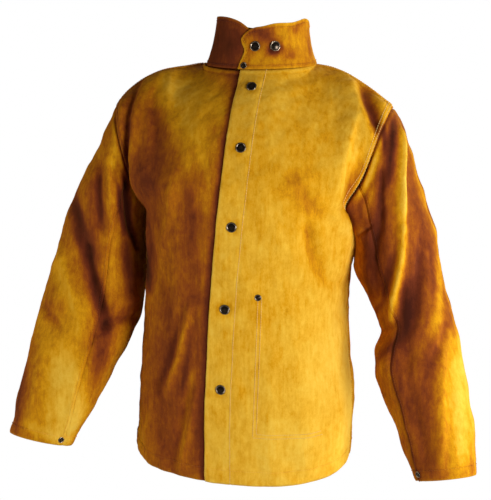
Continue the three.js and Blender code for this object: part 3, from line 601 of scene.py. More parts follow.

# %% Nap and painted shade tables of the sleeves and the collar
# The rows mix the leather's own tone with painted shade in the armpit crevices, valleys and under the arms, and
# painted highlights on lit ridges and forearms
SLEEVE_NAP_AND_SHADE = {
    "left": [
        # Painted highlights along the two long fold ridges
        (108, 0.09, 134, 0.19, 157, 0.345, 8, -0.95, 0.5),
        (156, 0.335, 178, 0.47, 213, 0.59, 7, -0.66, 0.1),
        (96, 0.12, 99, 0.28, 100, 0.42, 9, -0.55),
        (118, 0.20, 124, 0.30, 128, 0.40, 12, 0.2),
        (112, 0.03, 138, 0.085, 160, 0.16, 13, 0.75),
        (168, 0.10, 177, 0.17, 182, 0.25, 8, 0.25),
        (190, 0.22, 200, 0.34, 212, 0.48, 20, 0.34),
        (178, 0.40, 194, 0.46, 212, 0.52, 8, 0.35),
        (134, 0.40, 156, 0.50, 180, 0.61, 14, 0.22),
        (170, 0.50, 186, 0.58, 200, 0.655, 12, 0.7),
        (172, 0.63, 184, 0.665, 196, 0.71, 12, 0.15),
        (104, 0.47, 130, 0.575, 152, 0.645, 12, -0.5),
        (112, 0.70, 128, 0.84, 146, 1.00, 30, -1.05),
        (150, 0.69, 168, 0.76, 190, 0.86, 16, 0.2),
        (160, 0.02, 180, 0.04, 198, 0.05, 16, -0.85),
        (186, 0.09, 192, 0.12, 197, 0.15, 8, -0.3),
        (226, 0.01, 230, 0.08, 234, 0.17, 12, 0.6),
        (208, 0.06, 213, 0.13, 218, 0.20, 10, 0.3),
        (208, 0.20, 213, 0.30, 217, 0.40, 9, 0.3),
        (224, 0.40, 232, 0.46, 242, 0.51, 11, 0.3),
        (215, 0.53, 232, 0.545, 250, 0.555, 6, 0.3),
        (205, 0.66, 225, 0.69, 248, 0.71, 12, 0.4),
        (136, 0.00, 143, 0.03, 150, 0.07, 8, 0.5),
        (120, 0.42, 128, 0.50, 140, 0.60, 9, 0.25),
        (178, 0.22, 190, 0.32, 199, 0.42, 6, -0.25),
        (203, 0.70, 206, 0.76, 212, 0.84, 6, 0.2),
        (94, 0.64, 98, 0.82, 104, 1.00, 14, -0.7),
        (98, 0.40, 100, 0.50, 101, 0.62, 8, -0.45),
    ],
    "right": [
        (150, 0.02, 160, 0.06, 168, 0.12, 14, -0.3),
        (146, 0.185, 170, 0.235, 186, 0.33, 13, 0.4),
        (112, 0.325, 146, 0.350, 180, 0.43, 21, 0.5),
        (152, 0.39, 168, 0.43, 182, 0.48, 11, 0.3),
        (178, 0.42, 197, 0.56, 224, 0.67, 11, 0.4),
        (120, 0.50, 150, 0.57, 186, 0.68, 20, -0.35),
        (120, 0.68, 134, 0.70, 150, 0.73, 16, -0.3),
        # Painted shadow in the crevice at the armpit
        (196, 0.00, 211, 0.13, 246, 0.33, 11, 0.85),
        (224, 0.30, 233, 0.44, 246, 0.62, 14, 0.6),
        (180, 0.74, 205, 0.87, 226, 0.98, 34, -0.8),
        (112, 0.80, 126, 0.90, 142, 1.00, 20, 0.42),
        (222, 0.68, 232, 0.75, 244, 0.82, 18, 0.5),
        (240, 0.88, 245, 0.94, 250, 1.00, 24, -0.7),
        (160, 0.95, 195, 0.97, 240, 0.98, 13, -0.5),
        (192, 0.12, 206, 0.19, 222, 0.28, 9, 0.75),
        (216, 0.08, 222, 0.15, 232, 0.24, 6, 0.4),
        (150, 0.22, 165, 0.30, 185, 0.38, 13, 0.2),
    ],
}
COLLAR_NAP_AND_SHADE = [  # degrees round the neck and share of the height
    # Painted shade over the collar's right half, which faces away from the light
    (-6, 0.5, -45, 0.5, -92, 0.5, 62, 0.9),
    (-366, 1.0, -352, 0.85, -340, 0.68, 14, 0.65),
    (-344, 0.36, -337, 0.42, -330, 0.45, 9, 0.8),
    (-322, 0.26, -317, 0.28, -312, 0.32, 7, 0.4),
    (-314, 0.80, -305, 0.82, -296, 0.90, 9, 0.35),
    (-290, 0.20, -280, 0.35, -275, 0.60, 14, 0.35),
]
sleeve_folds = sum(len(rows) + len(REAR_FOLDS) for rows in SLEEVE_FOLDS.values())
print("folds:", len(FRONT_FOLDS), "front,", len(BACK_FOLDS), "back,", sleeve_folds, "sleeve")


# %% [markdown]
# ## From a grid to a leather panel
# A panel is a grid of points with rows and columns. From it come the outward normals, and the distance of
# every point from the four edges, which is what sewing follows: a welt, a stitch groove or a turned hem runs
# at a fixed distance from an edge. All the shaping is summed as one height along the normal.

# %% Panel grids
def panel_grid(points, flip):
    """Holds a panel's plain points, its outward normals (the cross product of the steps along rows and
    columns), the distance from its first and last column and row, summed along the grid lines, and its rise
    and its nap with painted shade, which start at zero."""
    normal = unit(np.cross(np.gradient(points, axis=1), np.gradient(points, axis=0)))
    step_x = np.linalg.norm(np.diff(points, axis=1), axis=-1)
    step_y = np.linalg.norm(np.diff(points, axis=0), axis=-1)
    run_x = np.pad(np.cumsum(step_x, 1), ((0, 0), (1, 0)))
    run_y = np.pad(np.cumsum(step_y, 0), ((1, 0), (0, 0)))
    return {
        "plain": points, "normal": -normal if flip else normal, "flip": flip,
        "first_column": run_x, "last_column": run_x[:, -1:] - run_x,
        "first_row": run_y, "last_row": run_y[-1:] - run_y,
        "rise": np.zeros(points.shape[:2]), "nap": np.zeros(points.shape[:2]),
    }


def spread(count, pull):
    """Shares from 0 to 1, closer together at both ends by a pull of 0 to 1."""
    t = np.linspace(0, 1, count)
    return t + pull * (t * t * (3 - 2 * t) - t)


def surface(grid):
    """A panel's points with their height added along the normal."""
    return grid["plain"] + grid["normal"] * grid["rise"][..., None]


TRIM = 0.00003  # takes half of a hair's gap off a panel's edge
LOW_ROWS, HIGH_ROWS = 113, 82  # up to the armpit and above it
LEVELS = np.concatenate([np.linspace(0, 1, LOW_ROWS)[:-1], np.linspace(1, 2, HIGH_ROWS)])
LEVELS[-1] -= TRIM
FRONT_COLUMNS, BACK_COLUMNS = spread(118, 0.45), spread(190, 0.35)  # counts, and how close at the edges
edge_x = read(FRONT_EDGE, LEVELS, 1)
edge_left, edge_right = across_at(LEVELS, edge_x), across_at(LEVELS, edge_x + LAP_WIDTH)
limits = {
    "front_panel_left": ("front", edge_left, np.full_like(LEVELS, 1 - TRIM), FRONT_COLUMNS),
    "front_panel_right": ("front", np.full_like(LEVELS, -1 + TRIM), edge_right, FRONT_COLUMNS),
    "back_panel": ("back", np.full_like(LEVELS, -1 + TRIM), np.full_like(LEVELS, 1 - TRIM), BACK_COLUMNS),
}
panels = {}
for name, (face, start, end, columns) in limits.items():
    across = start[:, None] + (end - start)[:, None] * columns
    panels[name] = panel_grid(trunk(face, across, LEVELS[:, None]), face == "back")
    panels[name]["across"] = across
print("trunk grids:", ", ".join(panels))

# %% Sleeve and collar grids
ALONG = np.linspace(0, 1, 196)  # rows of a sleeve
SLEEVE_COLUMNS = {"top": spread(118, 0.4), "under": spread(62, 0.4)}
SEAM_TRIM = 0.02  # degrees, half of a hair's gap between the two panels of a sleeve
spans = {
    "top": (SEAM_BACK - 360 + SEAM_TRIM, SEAM_FRONT - SEAM_TRIM),
    "under": (SEAM_FRONT + SEAM_TRIM, SEAM_BACK - SEAM_TRIM),
}
for side in ("left", "right"):
    for part, (start, end) in spans.items():
        degrees = start + (end - start) * SLEEVE_COLUMNS[part] + twist(ALONG[:, None])
        points = sleeve(side, degrees, np.maximum(ALONG, ARMHOLE_TRIM)[:, None])
        grid = panel_grid(points, side == "right")
        grid["degrees"] = degrees
        panels[f"{part}_sleeve_{side}"] = grid
TURNS = COLLAR_LEFT + (COLLAR_RIGHT - COLLAR_LEFT) * spread(270, 0.3)
HEIGHTS = spread(40, 0.4)
END_WAVE, END_REACH = 4.5, 13  # degrees: how far the upper end's edge bows in, and how far in it is felt
wavy_end = END_WAVE * bell(HEIGHTS[:, None], 0.52, 0.24) * smooth(COLLAR_LEFT + END_REACH, COLLAR_LEFT, TURNS)
panels["collar"] = panel_grid(collar_band(TURNS + wavy_end, HEIGHTS[:, None]), False)
print("grids:", {name: grid["plain"].shape[:2] for name, grid in panels.items()})


# %% Lay the folds on the panels
# Painted shade in fold valleys and painted highlight on fold ridges, as a change of the nap
VALLEY_SHADE, RIDGE_HIGHLIGHT = 0.035, 0.02  # change of the nap per millimetre of a fold


def waviness(points, seed):
    """Slow and quick ripples of thick suede, in millimetres."""
    slow, middling, quick = (ripple(points, size, seed + size) for size in (75, 30, 13))
    return 0.9 * slow + 0.4 * middling + 0.12 * quick


def settle(grid, folded, wave, fade):
    """Adds folds and waviness, faded at the seams, to a panel's height. Valleys get a darker nap, which is
    painted shade, and ridges a paler one, which is painted highlight.
    """
    grid["rise"] += (folded + wave) * fade
    grid["nap"] -= folded * fade * np.where(folded < 0, VALLEY_SHADE, RIDGE_HIGHLIGHT)


for name in limits:
    grid, face = panels[name], limits[name][0]
    x, z = grid["plain"][..., 0], grid["plain"][..., 2]
    fade = smooth(1, 0.93, np.abs(grid["across"])) * smooth(2, 1.9, LEVELS)[:, None]
    folded = folds(x, z, FRONT_FOLDS if face == "front" else BACK_FOLDS)
    settle(grid, folded, waviness(grid["plain"], 3), fade)
    grid["nap"] += folds(x, z, TRUNK_NAP_AND_SHADE[name])
    if face == "front":
        near = 1 - smooth(42, 100, np.abs(x - edge_x[:, None] - LAP_WIDTH / 2))
        grid["rise"] += near * (LAP_LIFT if name == "front_panel_left" else -LAP_LIFT)
for side in ("left", "right"):
    for part in spans:
        grid = panels[f"{part}_sleeve_{side}"]
        turned = (grid["degrees"] + 30) % 360 - 30
        along = np.broadcast_to(ALONG[:, None], turned.shape)
        fade = smooth(0, 0.07, along) * smooth(1, 0.95, along)
        flat = turned * SLEEVE_UNIT[0], along * SLEEVE_UNIT[1]
        folded = folds(*flat, SLEEVE_FOLDS[side] + REAR_FOLDS, SLEEVE_UNIT)
        settle(grid, folded, waviness(grid["plain"], 5), fade)
        grid["nap"] += folds(*flat, SLEEVE_NAP_AND_SHADE[side], SLEEVE_UNIT)
grid = panels["collar"]
settle(grid, 0.0, 0.5 * waviness(grid["plain"], 8), smooth(0, 0.25, HEIGHTS)[:, None])
COLLAR_UNIT = (1.47, 76)  # millimetres per degree round the neck, and its mean height
turn_run, rise_run = np.meshgrid(TURNS * COLLAR_UNIT[0], HEIGHTS * COLLAR_UNIT[1])
grid["nap"] += folds(turn_run, rise_run, COLLAR_NAP_AND_SHADE, COLLAR_UNIT)
for name, base in NAP_AND_SHADE_BASE.items():
    panels[name]["nap"] += base
print("deepest fold", round(min(g["rise"].min() for g in panels.values()), 1), "mm")


# %% [markdown]
# ## Sewing shapes the edges
# A turned hem is thicker and has a groove where the thread pulls it down. A sewn seam sinks, and beside it
# the folded allowance lifts the leather into a low welt. Snaps pull a dimple with small puckers round it.
# These are a few tenths to two millimetres deep, and they are what makes a panel look sewn and not moulded.
# The nap is also painted darker in sunk seams, grooves and dimples, which is painted shade, and paler on
# welts, a painted highlight.

# %% Hems, seams and welts
# How far the stitch lines lie from the edges that they follow
HEM_LINE, CUFF_LINE, FACING_LINE, SIDE_LINE, SLEEVE_LINE, COLLAR_LINE, NECK_LINE = 25, 18, 45, 10, 6, 7, 6


def hem(grid, edge, depth):
    """A turned edge: thicker up to a stitch line at a depth, a pulled groove there, and a rolled rim. The
    nap is darker at the groove, painted shade, and paler at the rim, the cut edge's own tone and a painted
    highlight.
    """
    d = grid[edge]
    pull = 1 + 0.35 * ripple(grid["plain"], 9, 21)
    grid["rise"] += 0.5 * smooth(depth, depth - 6, d) - 0.35 * pull * bell(d, depth, 2.4)
    grid["rise"] -= 0.8 * bell(d, 0, 1.6)
    grid["nap"] += 0.03 * bell(d, depth - 1, 3.0) - 0.3 * bell(d, 0, 2.5)


def groove(grid, edge, depth, pull=0.8, shade=0.22):
    """A single line of stitching that pulls the leather down at a distance from an edge. A shade above 0
    darkens the nap in the groove as painted shade.
    """
    d = grid[edge]
    grid["rise"] -= pull * (1 + 0.35 * ripple(grid["plain"], 9, 22)) * bell(d, depth, 2.2)
    grid["nap"] += shade * bell(d, depth, 3.0)


def tuck(grid, edge, sink=2.0, welt=0.9, shade=0.45):
    """A sewn seam: the edge sinks and the allowance beside it lifts. The nap is darkened where the edge sinks,
    which is painted shade, and paler on the lifted allowance, which is painted highlight.
    """
    d = grid[edge]
    pull = 1 + 0.3 * ripple(grid["plain"], 14, 23)
    grid["rise"] += welt * pull * bell(d, 8, 6) - sink * bell(d, 0, 3.5)
    grid["nap"] += shade * (bell(d, 0, 3.5) - 0.3 * bell(d, 7, 5))


def welt(grid, edge, width, lift):
    """A narrow raised band along an edge, where the allowances of a seam are sewn down under it. Its nap is
    painted darker in the groove at its foot and at the seam, as painted shade, and paler on the band, as
    painted highlight.
    """
    d, foot = grid[edge], width + 1.5
    grid["rise"] += lift * smooth(foot, width - 1.5, d) - 0.4 * bell(d, foot, 1.5)
    grid["nap"] += 0.12 * (bell(d, foot, 2.0) - smooth(width + 1, width - 1, d)) + 0.2 * bell(d, 0, 1.5)


def rolled(grid, edge, sink, pale_width):
    """A cut edge that rolls under and has a paler nap, partly the cut edge's own paler tone and partly a
    painted highlight on the rolled rim: both are bells of the distance from it.
    """
    grid["rise"] -= sink * bell(grid[edge], 0, 1.8)
    grid["nap"] -= 0.3 * bell(grid[edge], 0, pale_width)


# %% Sew the edges of the panels
COLUMN_EDGES = ("first_column", "last_column")
left, right, back = (panels[name] for name in limits)
collar = panels["collar"]
side_edges = [(left, "last_column"), (right, "first_column"), (back, "first_column"), (back, "last_column")]
for grid in (left, right, back):
    hem(grid, "first_row", HEM_LINE)
    welt(grid, "last_row", 8, 0.9)
for grid, edge in side_edges:
    tuck(grid, edge)
for grid, edge in side_edges[:2]:
    groove(grid, edge, SIDE_LINE)
groove(left, "first_column", FACING_LINE, 0.8, -0.12)
rolled(left, "first_column", 0.9, 3.0)
left["nap"] -= 0.12 * smooth(46, 40, left["first_column"])
# Painted shadow of the lapped left front along its edge on the right front
right["nap"] += 0.45 * bell(right["plain"][..., 0], edge_x[:, None] - 3, 7)
for side in ("left", "right"):
    top, under = panels[f"top_sleeve_{side}"], panels[f"under_sleeve_{side}"]
    for grid in (top, under):
        for edge in COLUMN_EDGES:
            tuck(grid, edge, 1.2, 0.6, 0.05)
        tuck(grid, "first_row", 2.2, 0.5, 0.3)
        hem(grid, "last_row", CUFF_LINE)
    for edge in COLUMN_EDGES:
        groove(top, edge, SLEEVE_LINE, 0.5, 0.04)
top = panels["top_sleeve_left"]
# A darker line along the left forearm's seam: painted shade in the seam
top["nap"] += 0.3 * bell(top["last_column"], 2, 4) * smooth(0.55, 0.65, ALONG)[:, None]
for edge in (*COLUMN_EDGES, "last_row"):
    groove(collar, edge, COLLAR_LINE, 0.5, 0.06)
    rolled(collar, edge, 0.8, 2.5)
groove(collar, "first_row", NECK_LINE, 0.6, 0.12)
collar["rise"] -= 0.5 * bell(collar["first_row"], 0, 2.0)
print("sewn edges shaped on", len(panels), "panels")


# %% Places of the snaps and rivets
def sample(field, row, column):
    """Bilinear reading of a grid at a fractional row and column."""
    row, column = np.asarray(row, float), np.asarray(column, float)
    i = np.clip(row.astype(int), 0, field.shape[0] - 2)
    j = np.clip(column.astype(int), 0, field.shape[1] - 2)
    s, t = row - i, column - j
    if field.ndim == 3:
        s, t = s[..., None], t[..., None]
    low = field[i, j] * (1 - t) + field[i, j + 1] * t
    return low * (1 - s) + (field[i + 1, j] * (1 - t) + field[i + 1, j + 1] * t) * s


def index_of(value, rising):
    """Fractional index of a value in a rising array."""
    return np.interp(value, rising, np.arange(len(rising)))


def front_place(x, level):
    """Row and column on the upper front of a place given by x and level."""
    start, end = np.interp(level, LEVELS, edge_left), 1 - TRIM
    share = (across_at(np.array(level, float), x) - start) / (end - start)
    return index_of(level, LEVELS), index_of(share, FRONT_COLUMNS)


def collar_place(inset, up):
    """Row and column on the collar of a place given in degrees from its upper end and a share of height."""
    return index_of(up, HEIGHTS), index_of(COLLAR_LEFT + inset, TURNS)


def cuff_place(before_seam, along):
    """Row and column on a top sleeve of a place given in degrees before its front seam and a share along."""
    start, end = spans["top"]
    share = (SEAM_FRONT - before_seam - start) / (end - start)
    return along * (len(ALONG) - 1), index_of(share, SLEEVE_COLUMNS["top"])


# Cap radius and height, post radius, radius and height of the back disc
SIZES = {"snap": (8.8, 2.6, 2.0, 6.0, 1.2), "rivet": (5.8, 2.0, 1.6, 4.6, 1.0)}
LAYERS = 2 * LAP_LIFT + WALL
SNAP_INSET, SNAP_LEVELS = 27, [1.865, 1.455, 0.983, 0.68, 0.373]
seats = {}  # name: panel, row and column, kind, thickness clamped
for number, level in enumerate(SNAP_LEVELS, 1):
    place = front_place(read(FRONT_EDGE, level, 1) + SNAP_INSET, level)
    seats[f"front_snap_{number}"] = ("front_panel_left", place, "snap", LAYERS)
seats["pocket_rivet"] = ("front_panel_left", front_place(44, 0.73), "rivet", WALL)
seats["collar_snap_1"] = ("collar", collar_place(16.7, 0.55), "snap", LAYERS)
seats["collar_snap_2"] = ("collar", collar_place(40, 0.5), "snap", WALL)
seats["collar_rivet"] = ("collar", collar_place(5.5, 0.10), "rivet", LAYERS)
for side in ("left", "right"):
    seats[f"cuff_rivet_{side}"] = (f"top_sleeve_{side}", cuff_place(8, 0.983), "rivet", WALL)
print("seats:", ", ".join(seats))


# %% Dimples under the snaps
def dimple(grid, centre, reach):
    """A snap's pull: a bowl under the cap, a low ring outside it and eight small puckers in the ring. The
    nap is darkened in a ring round the cap as painted shade of the puckers.
    """
    off = grid["plain"] - centre
    gap = np.linalg.norm(off, axis=-1)
    turn = np.arctan2(off[..., 2], off[..., 0])
    ring = bell(gap, 1.7 * reach, 0.55 * reach)
    grid["rise"] += ring * (0.35 + 0.3 * np.cos(8 * turn + gap / 6)) - 1.1 * bell(gap, 0, 1.1 * reach)
    grid["nap"] += 0.15 * bell(gap, 1.25 * reach, 0.5 * reach)


for name, (panel, place, kind, _) in seats.items():
    centre = sample(panels[panel]["plain"], *place)
    dimple(panels[panel], centre, SIZES[kind][0])
    if name.startswith("front_snap"):
        dimple(right, centre, SIZES[kind][0])
print("dimples under", len(seats), "fasteners")


# %% [markdown]
# ## Suede
# Split cowhide has a short nap instead of a grain. Brushed one way it is pale gold, the other way deep
# red-brown, so its colour wanders in clouds and streaks much more than its shape does. One node group makes
# the colour and the height of the nap from Object coordinates and from the panel's nap attribute. That
# attribute holds the leather's own tone together with painted shade in crevices and folds and painted
# highlights. The leather's three finishes use it (the face, the rougher inside and the pale raw edge), and
# so does dyed thread.

# %% Node helpers
def new_group(name, sockets_in, sockets_out):
    """A shader node group with named sockets, and its input and output nodes."""
    group = bpy.data.node_groups.new(name, "ShaderNodeTree")
    for direction, sockets in (("INPUT", sockets_in), ("OUTPUT", sockets_out)):
        for socket, kind in sockets.items():
            group.interface.new_socket(socket, in_out=direction, socket_type=f"NodeSocket{kind}")
    return group, group.nodes.new("NodeGroupInput"), group.nodes.new("NodeGroupOutput")


def blend(tree, factor, first, second):
    """A colour mix of sockets or plain values."""
    inputs = {0: factor, 6: first, 7: second}
    return add_node(tree, "ShaderNodeMix", inputs, data_type="RGBA", clamp_factor=True).outputs[2]


def maths(tree, operation, first, second, third=0.0, clamp=False):
    """A math node on sockets or numbers."""
    inputs = {0: first, 1: second, 2: third}
    return add_node(tree, "ShaderNodeMath", inputs, operation=operation, use_clamp=clamp).outputs[0]


def noise(tree, vector, scale, stretch=(1, 1, 1), detail=3.0, rough=0.55):
    """Noise of a scale per metre on a stretched vector."""
    mapped = add_node(tree, "ShaderNodeMapping", {"Vector": vector, "Scale": stretch}).outputs[0]
    inputs = {"Vector": mapped, "Scale": scale, "Detail": detail, "Roughness": rough}
    return add_node(tree, "ShaderNodeTexNoise", inputs).outputs["Fac"]


# %% Nap and shade group
RAMP = [  # place on the scale from pale to dark, and colour
    (0.0, (0.98, 0.65, 0.085, 1)),  # straw
    (0.16, (0.92, 0.55, 0.050, 1)),  # pale gold
    (0.36, (0.78, 0.375, 0.007, 1)),  # gold
    (0.56, (0.47, 0.150, 0.006, 1)),  # amber
    (0.67, (0.30, 0.071, 0.010, 1)),  # rust
    (0.78, (0.165, 0.032, 0.011, 1)),  # brown
    (1.0, (0.055, 0.011, 0.006, 1)),  # maroon
]
NOISES = {  # scale per metre, stretch along z, detail, roughness, weight in the mottle
    "clouds": (11, 0.7, 4.0, 0.6, 0.45),
    "blotches": (38, 0.7, 4.0, 0.62, 0.55),
    "spots": (130, 0.6, 3.0, 0.6, 0.42),
    "streaks": (170, 0.1, 3.0, 0.6, 0.4),
    "fibres": (900, 0.4, 4.0, 0.7, 0.5),
}
MOTTLE_FALL, MOTTLE_MIDDLE, MOTTLE_LEAST = -0.8, 1.35, 0.8  # dark nap is mottled less than pale nap
TONE_GAIN, TONE_MIDDLE = 0.5, 0.36  # from the nap's own scale to places on the ramp
nap_and_shade_group, given, result = new_group(
    "suede_nap_and_shade",
    {"Vector": "Vector", "Nap and shade": "Float", "Shade": "Float"},
    {"Color": "Color", "Height": "Float", "Roughness": "Float"},
)
fields = {}
mottle = -sum(row[-1] for row in NOISES.values()) / 2
for name, (scale, stretch, detail, rough, weight) in NOISES.items():
    fields[name] = noise(nap_and_shade_group, given.outputs["Vector"], scale, (1, 1, stretch), detail, rough)
    mottle = maths(nap_and_shade_group, "MULTIPLY_ADD", fields[name], weight, mottle)
strength = maths(nap_and_shade_group, "MULTIPLY_ADD", given.outputs["Nap and shade"], MOTTLE_FALL, MOTTLE_MIDDLE)
strength = maths(nap_and_shade_group, "MAXIMUM", strength, MOTTLE_LEAST)
tone = maths(nap_and_shade_group, "ADD", given.outputs["Nap and shade"], given.outputs["Shade"])
tone = maths(nap_and_shade_group, "MULTIPLY_ADD", mottle, strength, tone)
tone = maths(nap_and_shade_group, "MULTIPLY_ADD", tone, TONE_GAIN, TONE_MIDDLE, True)
ramp = add_node(nap_and_shade_group, "ShaderNodeValToRGB", {"Fac": tone})
stops = ramp.color_ramp.elements
for stop, (position, colour) in zip((stops[0], stops[1]), (RAMP[0], RAMP[-1])):
    stop.position, stop.color = position, colour
for position, colour in RAMP[1:-1]:
    stops.new(position).color = colour
height = maths(nap_and_shade_group, "MULTIPLY", fields["blotches"], 0.8)
height = maths(nap_and_shade_group, "MULTIPLY_ADD", fields["fibres"], 0.6, height)
height = maths(nap_and_shade_group, "MULTIPLY_ADD", fields["streaks"], 0.5, height)
rough = maths(nap_and_shade_group, "MULTIPLY_ADD", fields["fibres"], 0.25, 0.72, True)
for socket, value in (("Color", ramp.outputs["Color"]), ("Height", height), ("Roughness", rough)):
    nap_and_shade_group.links.new(value, result.inputs[socket])
print("group:", nap_and_shade_group.name)


# %% Suede materials
SHEEN_TINT = (1.0, 0.58, 0.10, 1)


def nap_and_shade_node(tree, shade):
    """The nap and shade group on Object coordinates and the nap attribute, which holds the leather's tone
    with painted shade and painted highlights. The shade moves it from pale to brown.
    """
    inputs = {
        "Vector": add_node(tree, "ShaderNodeTexCoord").outputs["Object"],
        "Nap and shade": add_node(tree, "ShaderNodeAttribute", attribute_name="nap").outputs["Fac"],
        "Shade": shade,
    }
    return add_node(tree, "ShaderNodeGroup", inputs, node_tree=nap_and_shade_group).outputs


def finish_material(tree, inputs, height, strength, distance):
    """A principled shader with a bump of a strength and a depth in metres, as the material's surface."""
    bump = add_node(tree, "ShaderNodeBump", {"Height": height, "Strength": strength, "Distance": distance})
    shader = add_node(tree, "ShaderNodeBsdfPrincipled", inputs | {"Normal": bump.outputs["Normal"]})
    add_node(tree, "ShaderNodeOutputMaterial", {"Surface": shader.outputs[0]})


def suede(name, shade, depth, sheen):
    """A leather finish of a shade on the nap and shade group, with the nap's depth in metres as bump."""
    material, tree = new_material(name)
    nap = nap_and_shade_node(tree, shade)
    inputs = {
        "Base Color": nap["Color"], "Roughness": nap["Roughness"], "Specular IOR Level": 0.06,
        "Sheen Weight": sheen, "Sheen Roughness": 0.45, "Sheen Tint": SHEEN_TINT,
    }
    finish_material(tree, inputs, nap["Height"], 0.7, depth)
    return material


face_suede = suede("suede_face", 0.0, 0.0012, 0.2)
inside_suede = suede("suede_inside", 0.35, 0.0018, 0.1)
raw_edge = suede("suede_raw_edge", -0.35, 0.0008, 0.1)
print("suede finishes: face, inside, raw edge")


# %% [markdown]
# ## The leather panels
# Each grid becomes one mesh with its nap and painted shade as a point attribute. Solidify gives it the
# thickness of the hide, inwards, and puts the inside and raw-edge finishes on the new faces. Every panel
# replaces its CAD solid.

# %% Make the panels
def grid_faces(rows, columns, flip):
    """Quads of a grid, turned over where its normals point the other way."""
    at = np.arange(rows * columns).reshape(rows, columns)
    quads = np.stack([at[:-1, :-1], at[:-1, 1:], at[1:, 1:], at[1:, :-1]], -1).reshape(-1, 4)
    return quads[:, ::-1] if flip else quads


def leather_panel(name, grid):
    """A panel mesh with its nap and painted shade attribute and a Solidify wall inwards."""
    faces = grid_faces(*grid["rise"].shape, grid["flip"])
    finishes = face_suede, inside_suede, raw_edge
    piece = mesh_object(f"leather_{name}", surface(grid), [faces], *finishes, nap=grid["nap"])
    wall = piece.modifiers.new("hide", "SOLIDIFY")
    wall.thickness, wall.offset = WALL * MM, -1
    wall.use_even_offset, wall.use_rim = False, True
    wall.material_offset, wall.material_offset_rim = 1, 2
    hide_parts(name)
    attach(piece, "root")
    return piece


FLAT = {  # width and length of the cut in metres, area in square metres
    "back_panel": (0.58, 0.73, 0.368),
    "front_panel_left": (0.33, 0.72, 0.220),
    "front_panel_right": (0.33, 0.72, 0.217),
    "collar": (0.56, 0.075, 0.039),
    "top_sleeve_left": (0.33, 0.66, 0.172),
    "top_sleeve_right": (0.33, 0.66, 0.1825),
    "under_sleeve_left": (0.19, 0.53, 0.078),
    "under_sleeve_right": (0.19, 0.53, 0.079),
}
for name, (width, length, area) in FLAT.items():
    leather_panel(name, panels[name])


# %% [markdown]
# ## Stitching
# The seams are sewn with thick thread, pale where it shows in the picture and elsewhere dyed like the
# leather, painted shade included. It lies on the surface in short arched stitches, with a small gap where it
# dives into the leather.
# One stitch is a bent capsule of a few dozen faces. Thousands of them are placed at once, mostly along lines
# that run at a fixed distance from a panel's edge.

# %% Lines on panels
def beside(grid, edge, distance, rows=slice(None)):
    """Points, normals and nap with painted shade of a panel along a line at a distance from one of its
    edges. The points are read between the two grid points on either side of that distance."""
    fields = [surface(grid), grid["normal"], grid["nap"], grid[edge]]
    if edge.endswith("row"):
        fields = [f.swapaxes(0, 1) for f in fields]
    if edge.startswith("last"):
        fields = [f[:, ::-1] for f in fields]
    points, normals, nap, away = (f[rows] for f in fields)
    j = np.clip((away < distance).sum(1), 1, away.shape[1] - 1)
    i = np.arange(len(away))
    t = ((distance - away[i, j - 1]) / (away[i, j] - away[i, j - 1] + 1e-9))[:, None]
    line = points[i, j - 1] * (1 - t) + points[i, j] * t
    return line, normals[i, j], nap[i, j]


# %% Stitches
STITCH_PITCH, STITCH_LENGTH, STITCH_RADIUS, STITCH_LIFT = 4.4, 3.5, 0.6, 0.25
RING_AT = np.array([-0.5, -0.36, 0.0, 0.36, 0.5])
RING_RADIUS = np.array([0.45, 0.95, 1.0, 0.95, 0.45])
RING_HEIGHT = np.array([-0.35, 0.2, 0.42, 0.2, -0.35])
RINGS, SIDES = len(RING_AT), 6


def stitch_run(line, normal, nap):
    """Vertices of arched capsules, one per pitch along a line: rings of six points, small and sunk at both
    ends and standing on the leather between them. Each keeps the nap and painted shade of the leather under it."""
    run = np.concatenate([[0], np.cumsum(np.linalg.norm(np.diff(line, axis=0), axis=1))])
    centres = np.arange(STITCH_PITCH / 2, run[-1], STITCH_PITCH)
    at = lambda field, s: np.stack([np.interp(s, run, field[:, k]) for k in range(3)], -1)
    middle, tangent = at(line, centres), unit(at(line, centres + 0.8) - at(line, centres - 0.8))
    across = unit(np.cross(tangent, at(normal, centres)))
    up = np.cross(across, tangent)
    angle = np.linspace(0, 2 * np.pi, SIDES, endpoint=False)
    radius = STITCH_RADIUS * RING_RADIUS[:, None]
    lengthwise = np.broadcast_to((RING_AT * STITCH_LENGTH)[:, None], (RINGS, SIDES))
    sideways, upwards = radius * np.cos(angle), radius * np.sin(angle) + RING_HEIGHT[:, None] + STITCH_LIFT
    parts = ((tangent, lengthwise), (across, sideways), (up, upwards))
    verts = middle[:, None, None, :] + sum(v[:, None, None, :] * k[None, ..., None] for v, k in parts)
    return verts, np.repeat(np.interp(centres, run, nap), RINGS * SIDES)


def tube_faces(rings, sides):
    """Quads of a tube whose points are counted ring by ring."""
    at = np.arange(rings * sides).reshape(rings, sides)
    turn = np.roll(at, -1, axis=1)
    return np.stack([at[:-1], turn[:-1], turn[1:], at[1:]], -1).reshape(-1, 4)


def stitches(name, runs, material):
    """One mesh of all the stitches of several lines: a tube with two quads over each end for each stitch."""
    verts, nap = (np.concatenate(part) for part in zip(*(stitch_run(*run) for run in runs)))
    end = np.array([[0, 1, 2, 3], [0, 3, 4, 5]])
    template = np.concatenate([tube_faces(RINGS, SIDES), end[:, ::-1], end + (RINGS - 1) * SIDES])
    faces = template + (np.arange(len(verts)) * RINGS * SIDES)[:, None, None]
    piece = mesh_object(name, verts, [faces.reshape(-1, 4)], material, nap=nap)
    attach(piece, "root")
    print(name, len(verts), "stitches")


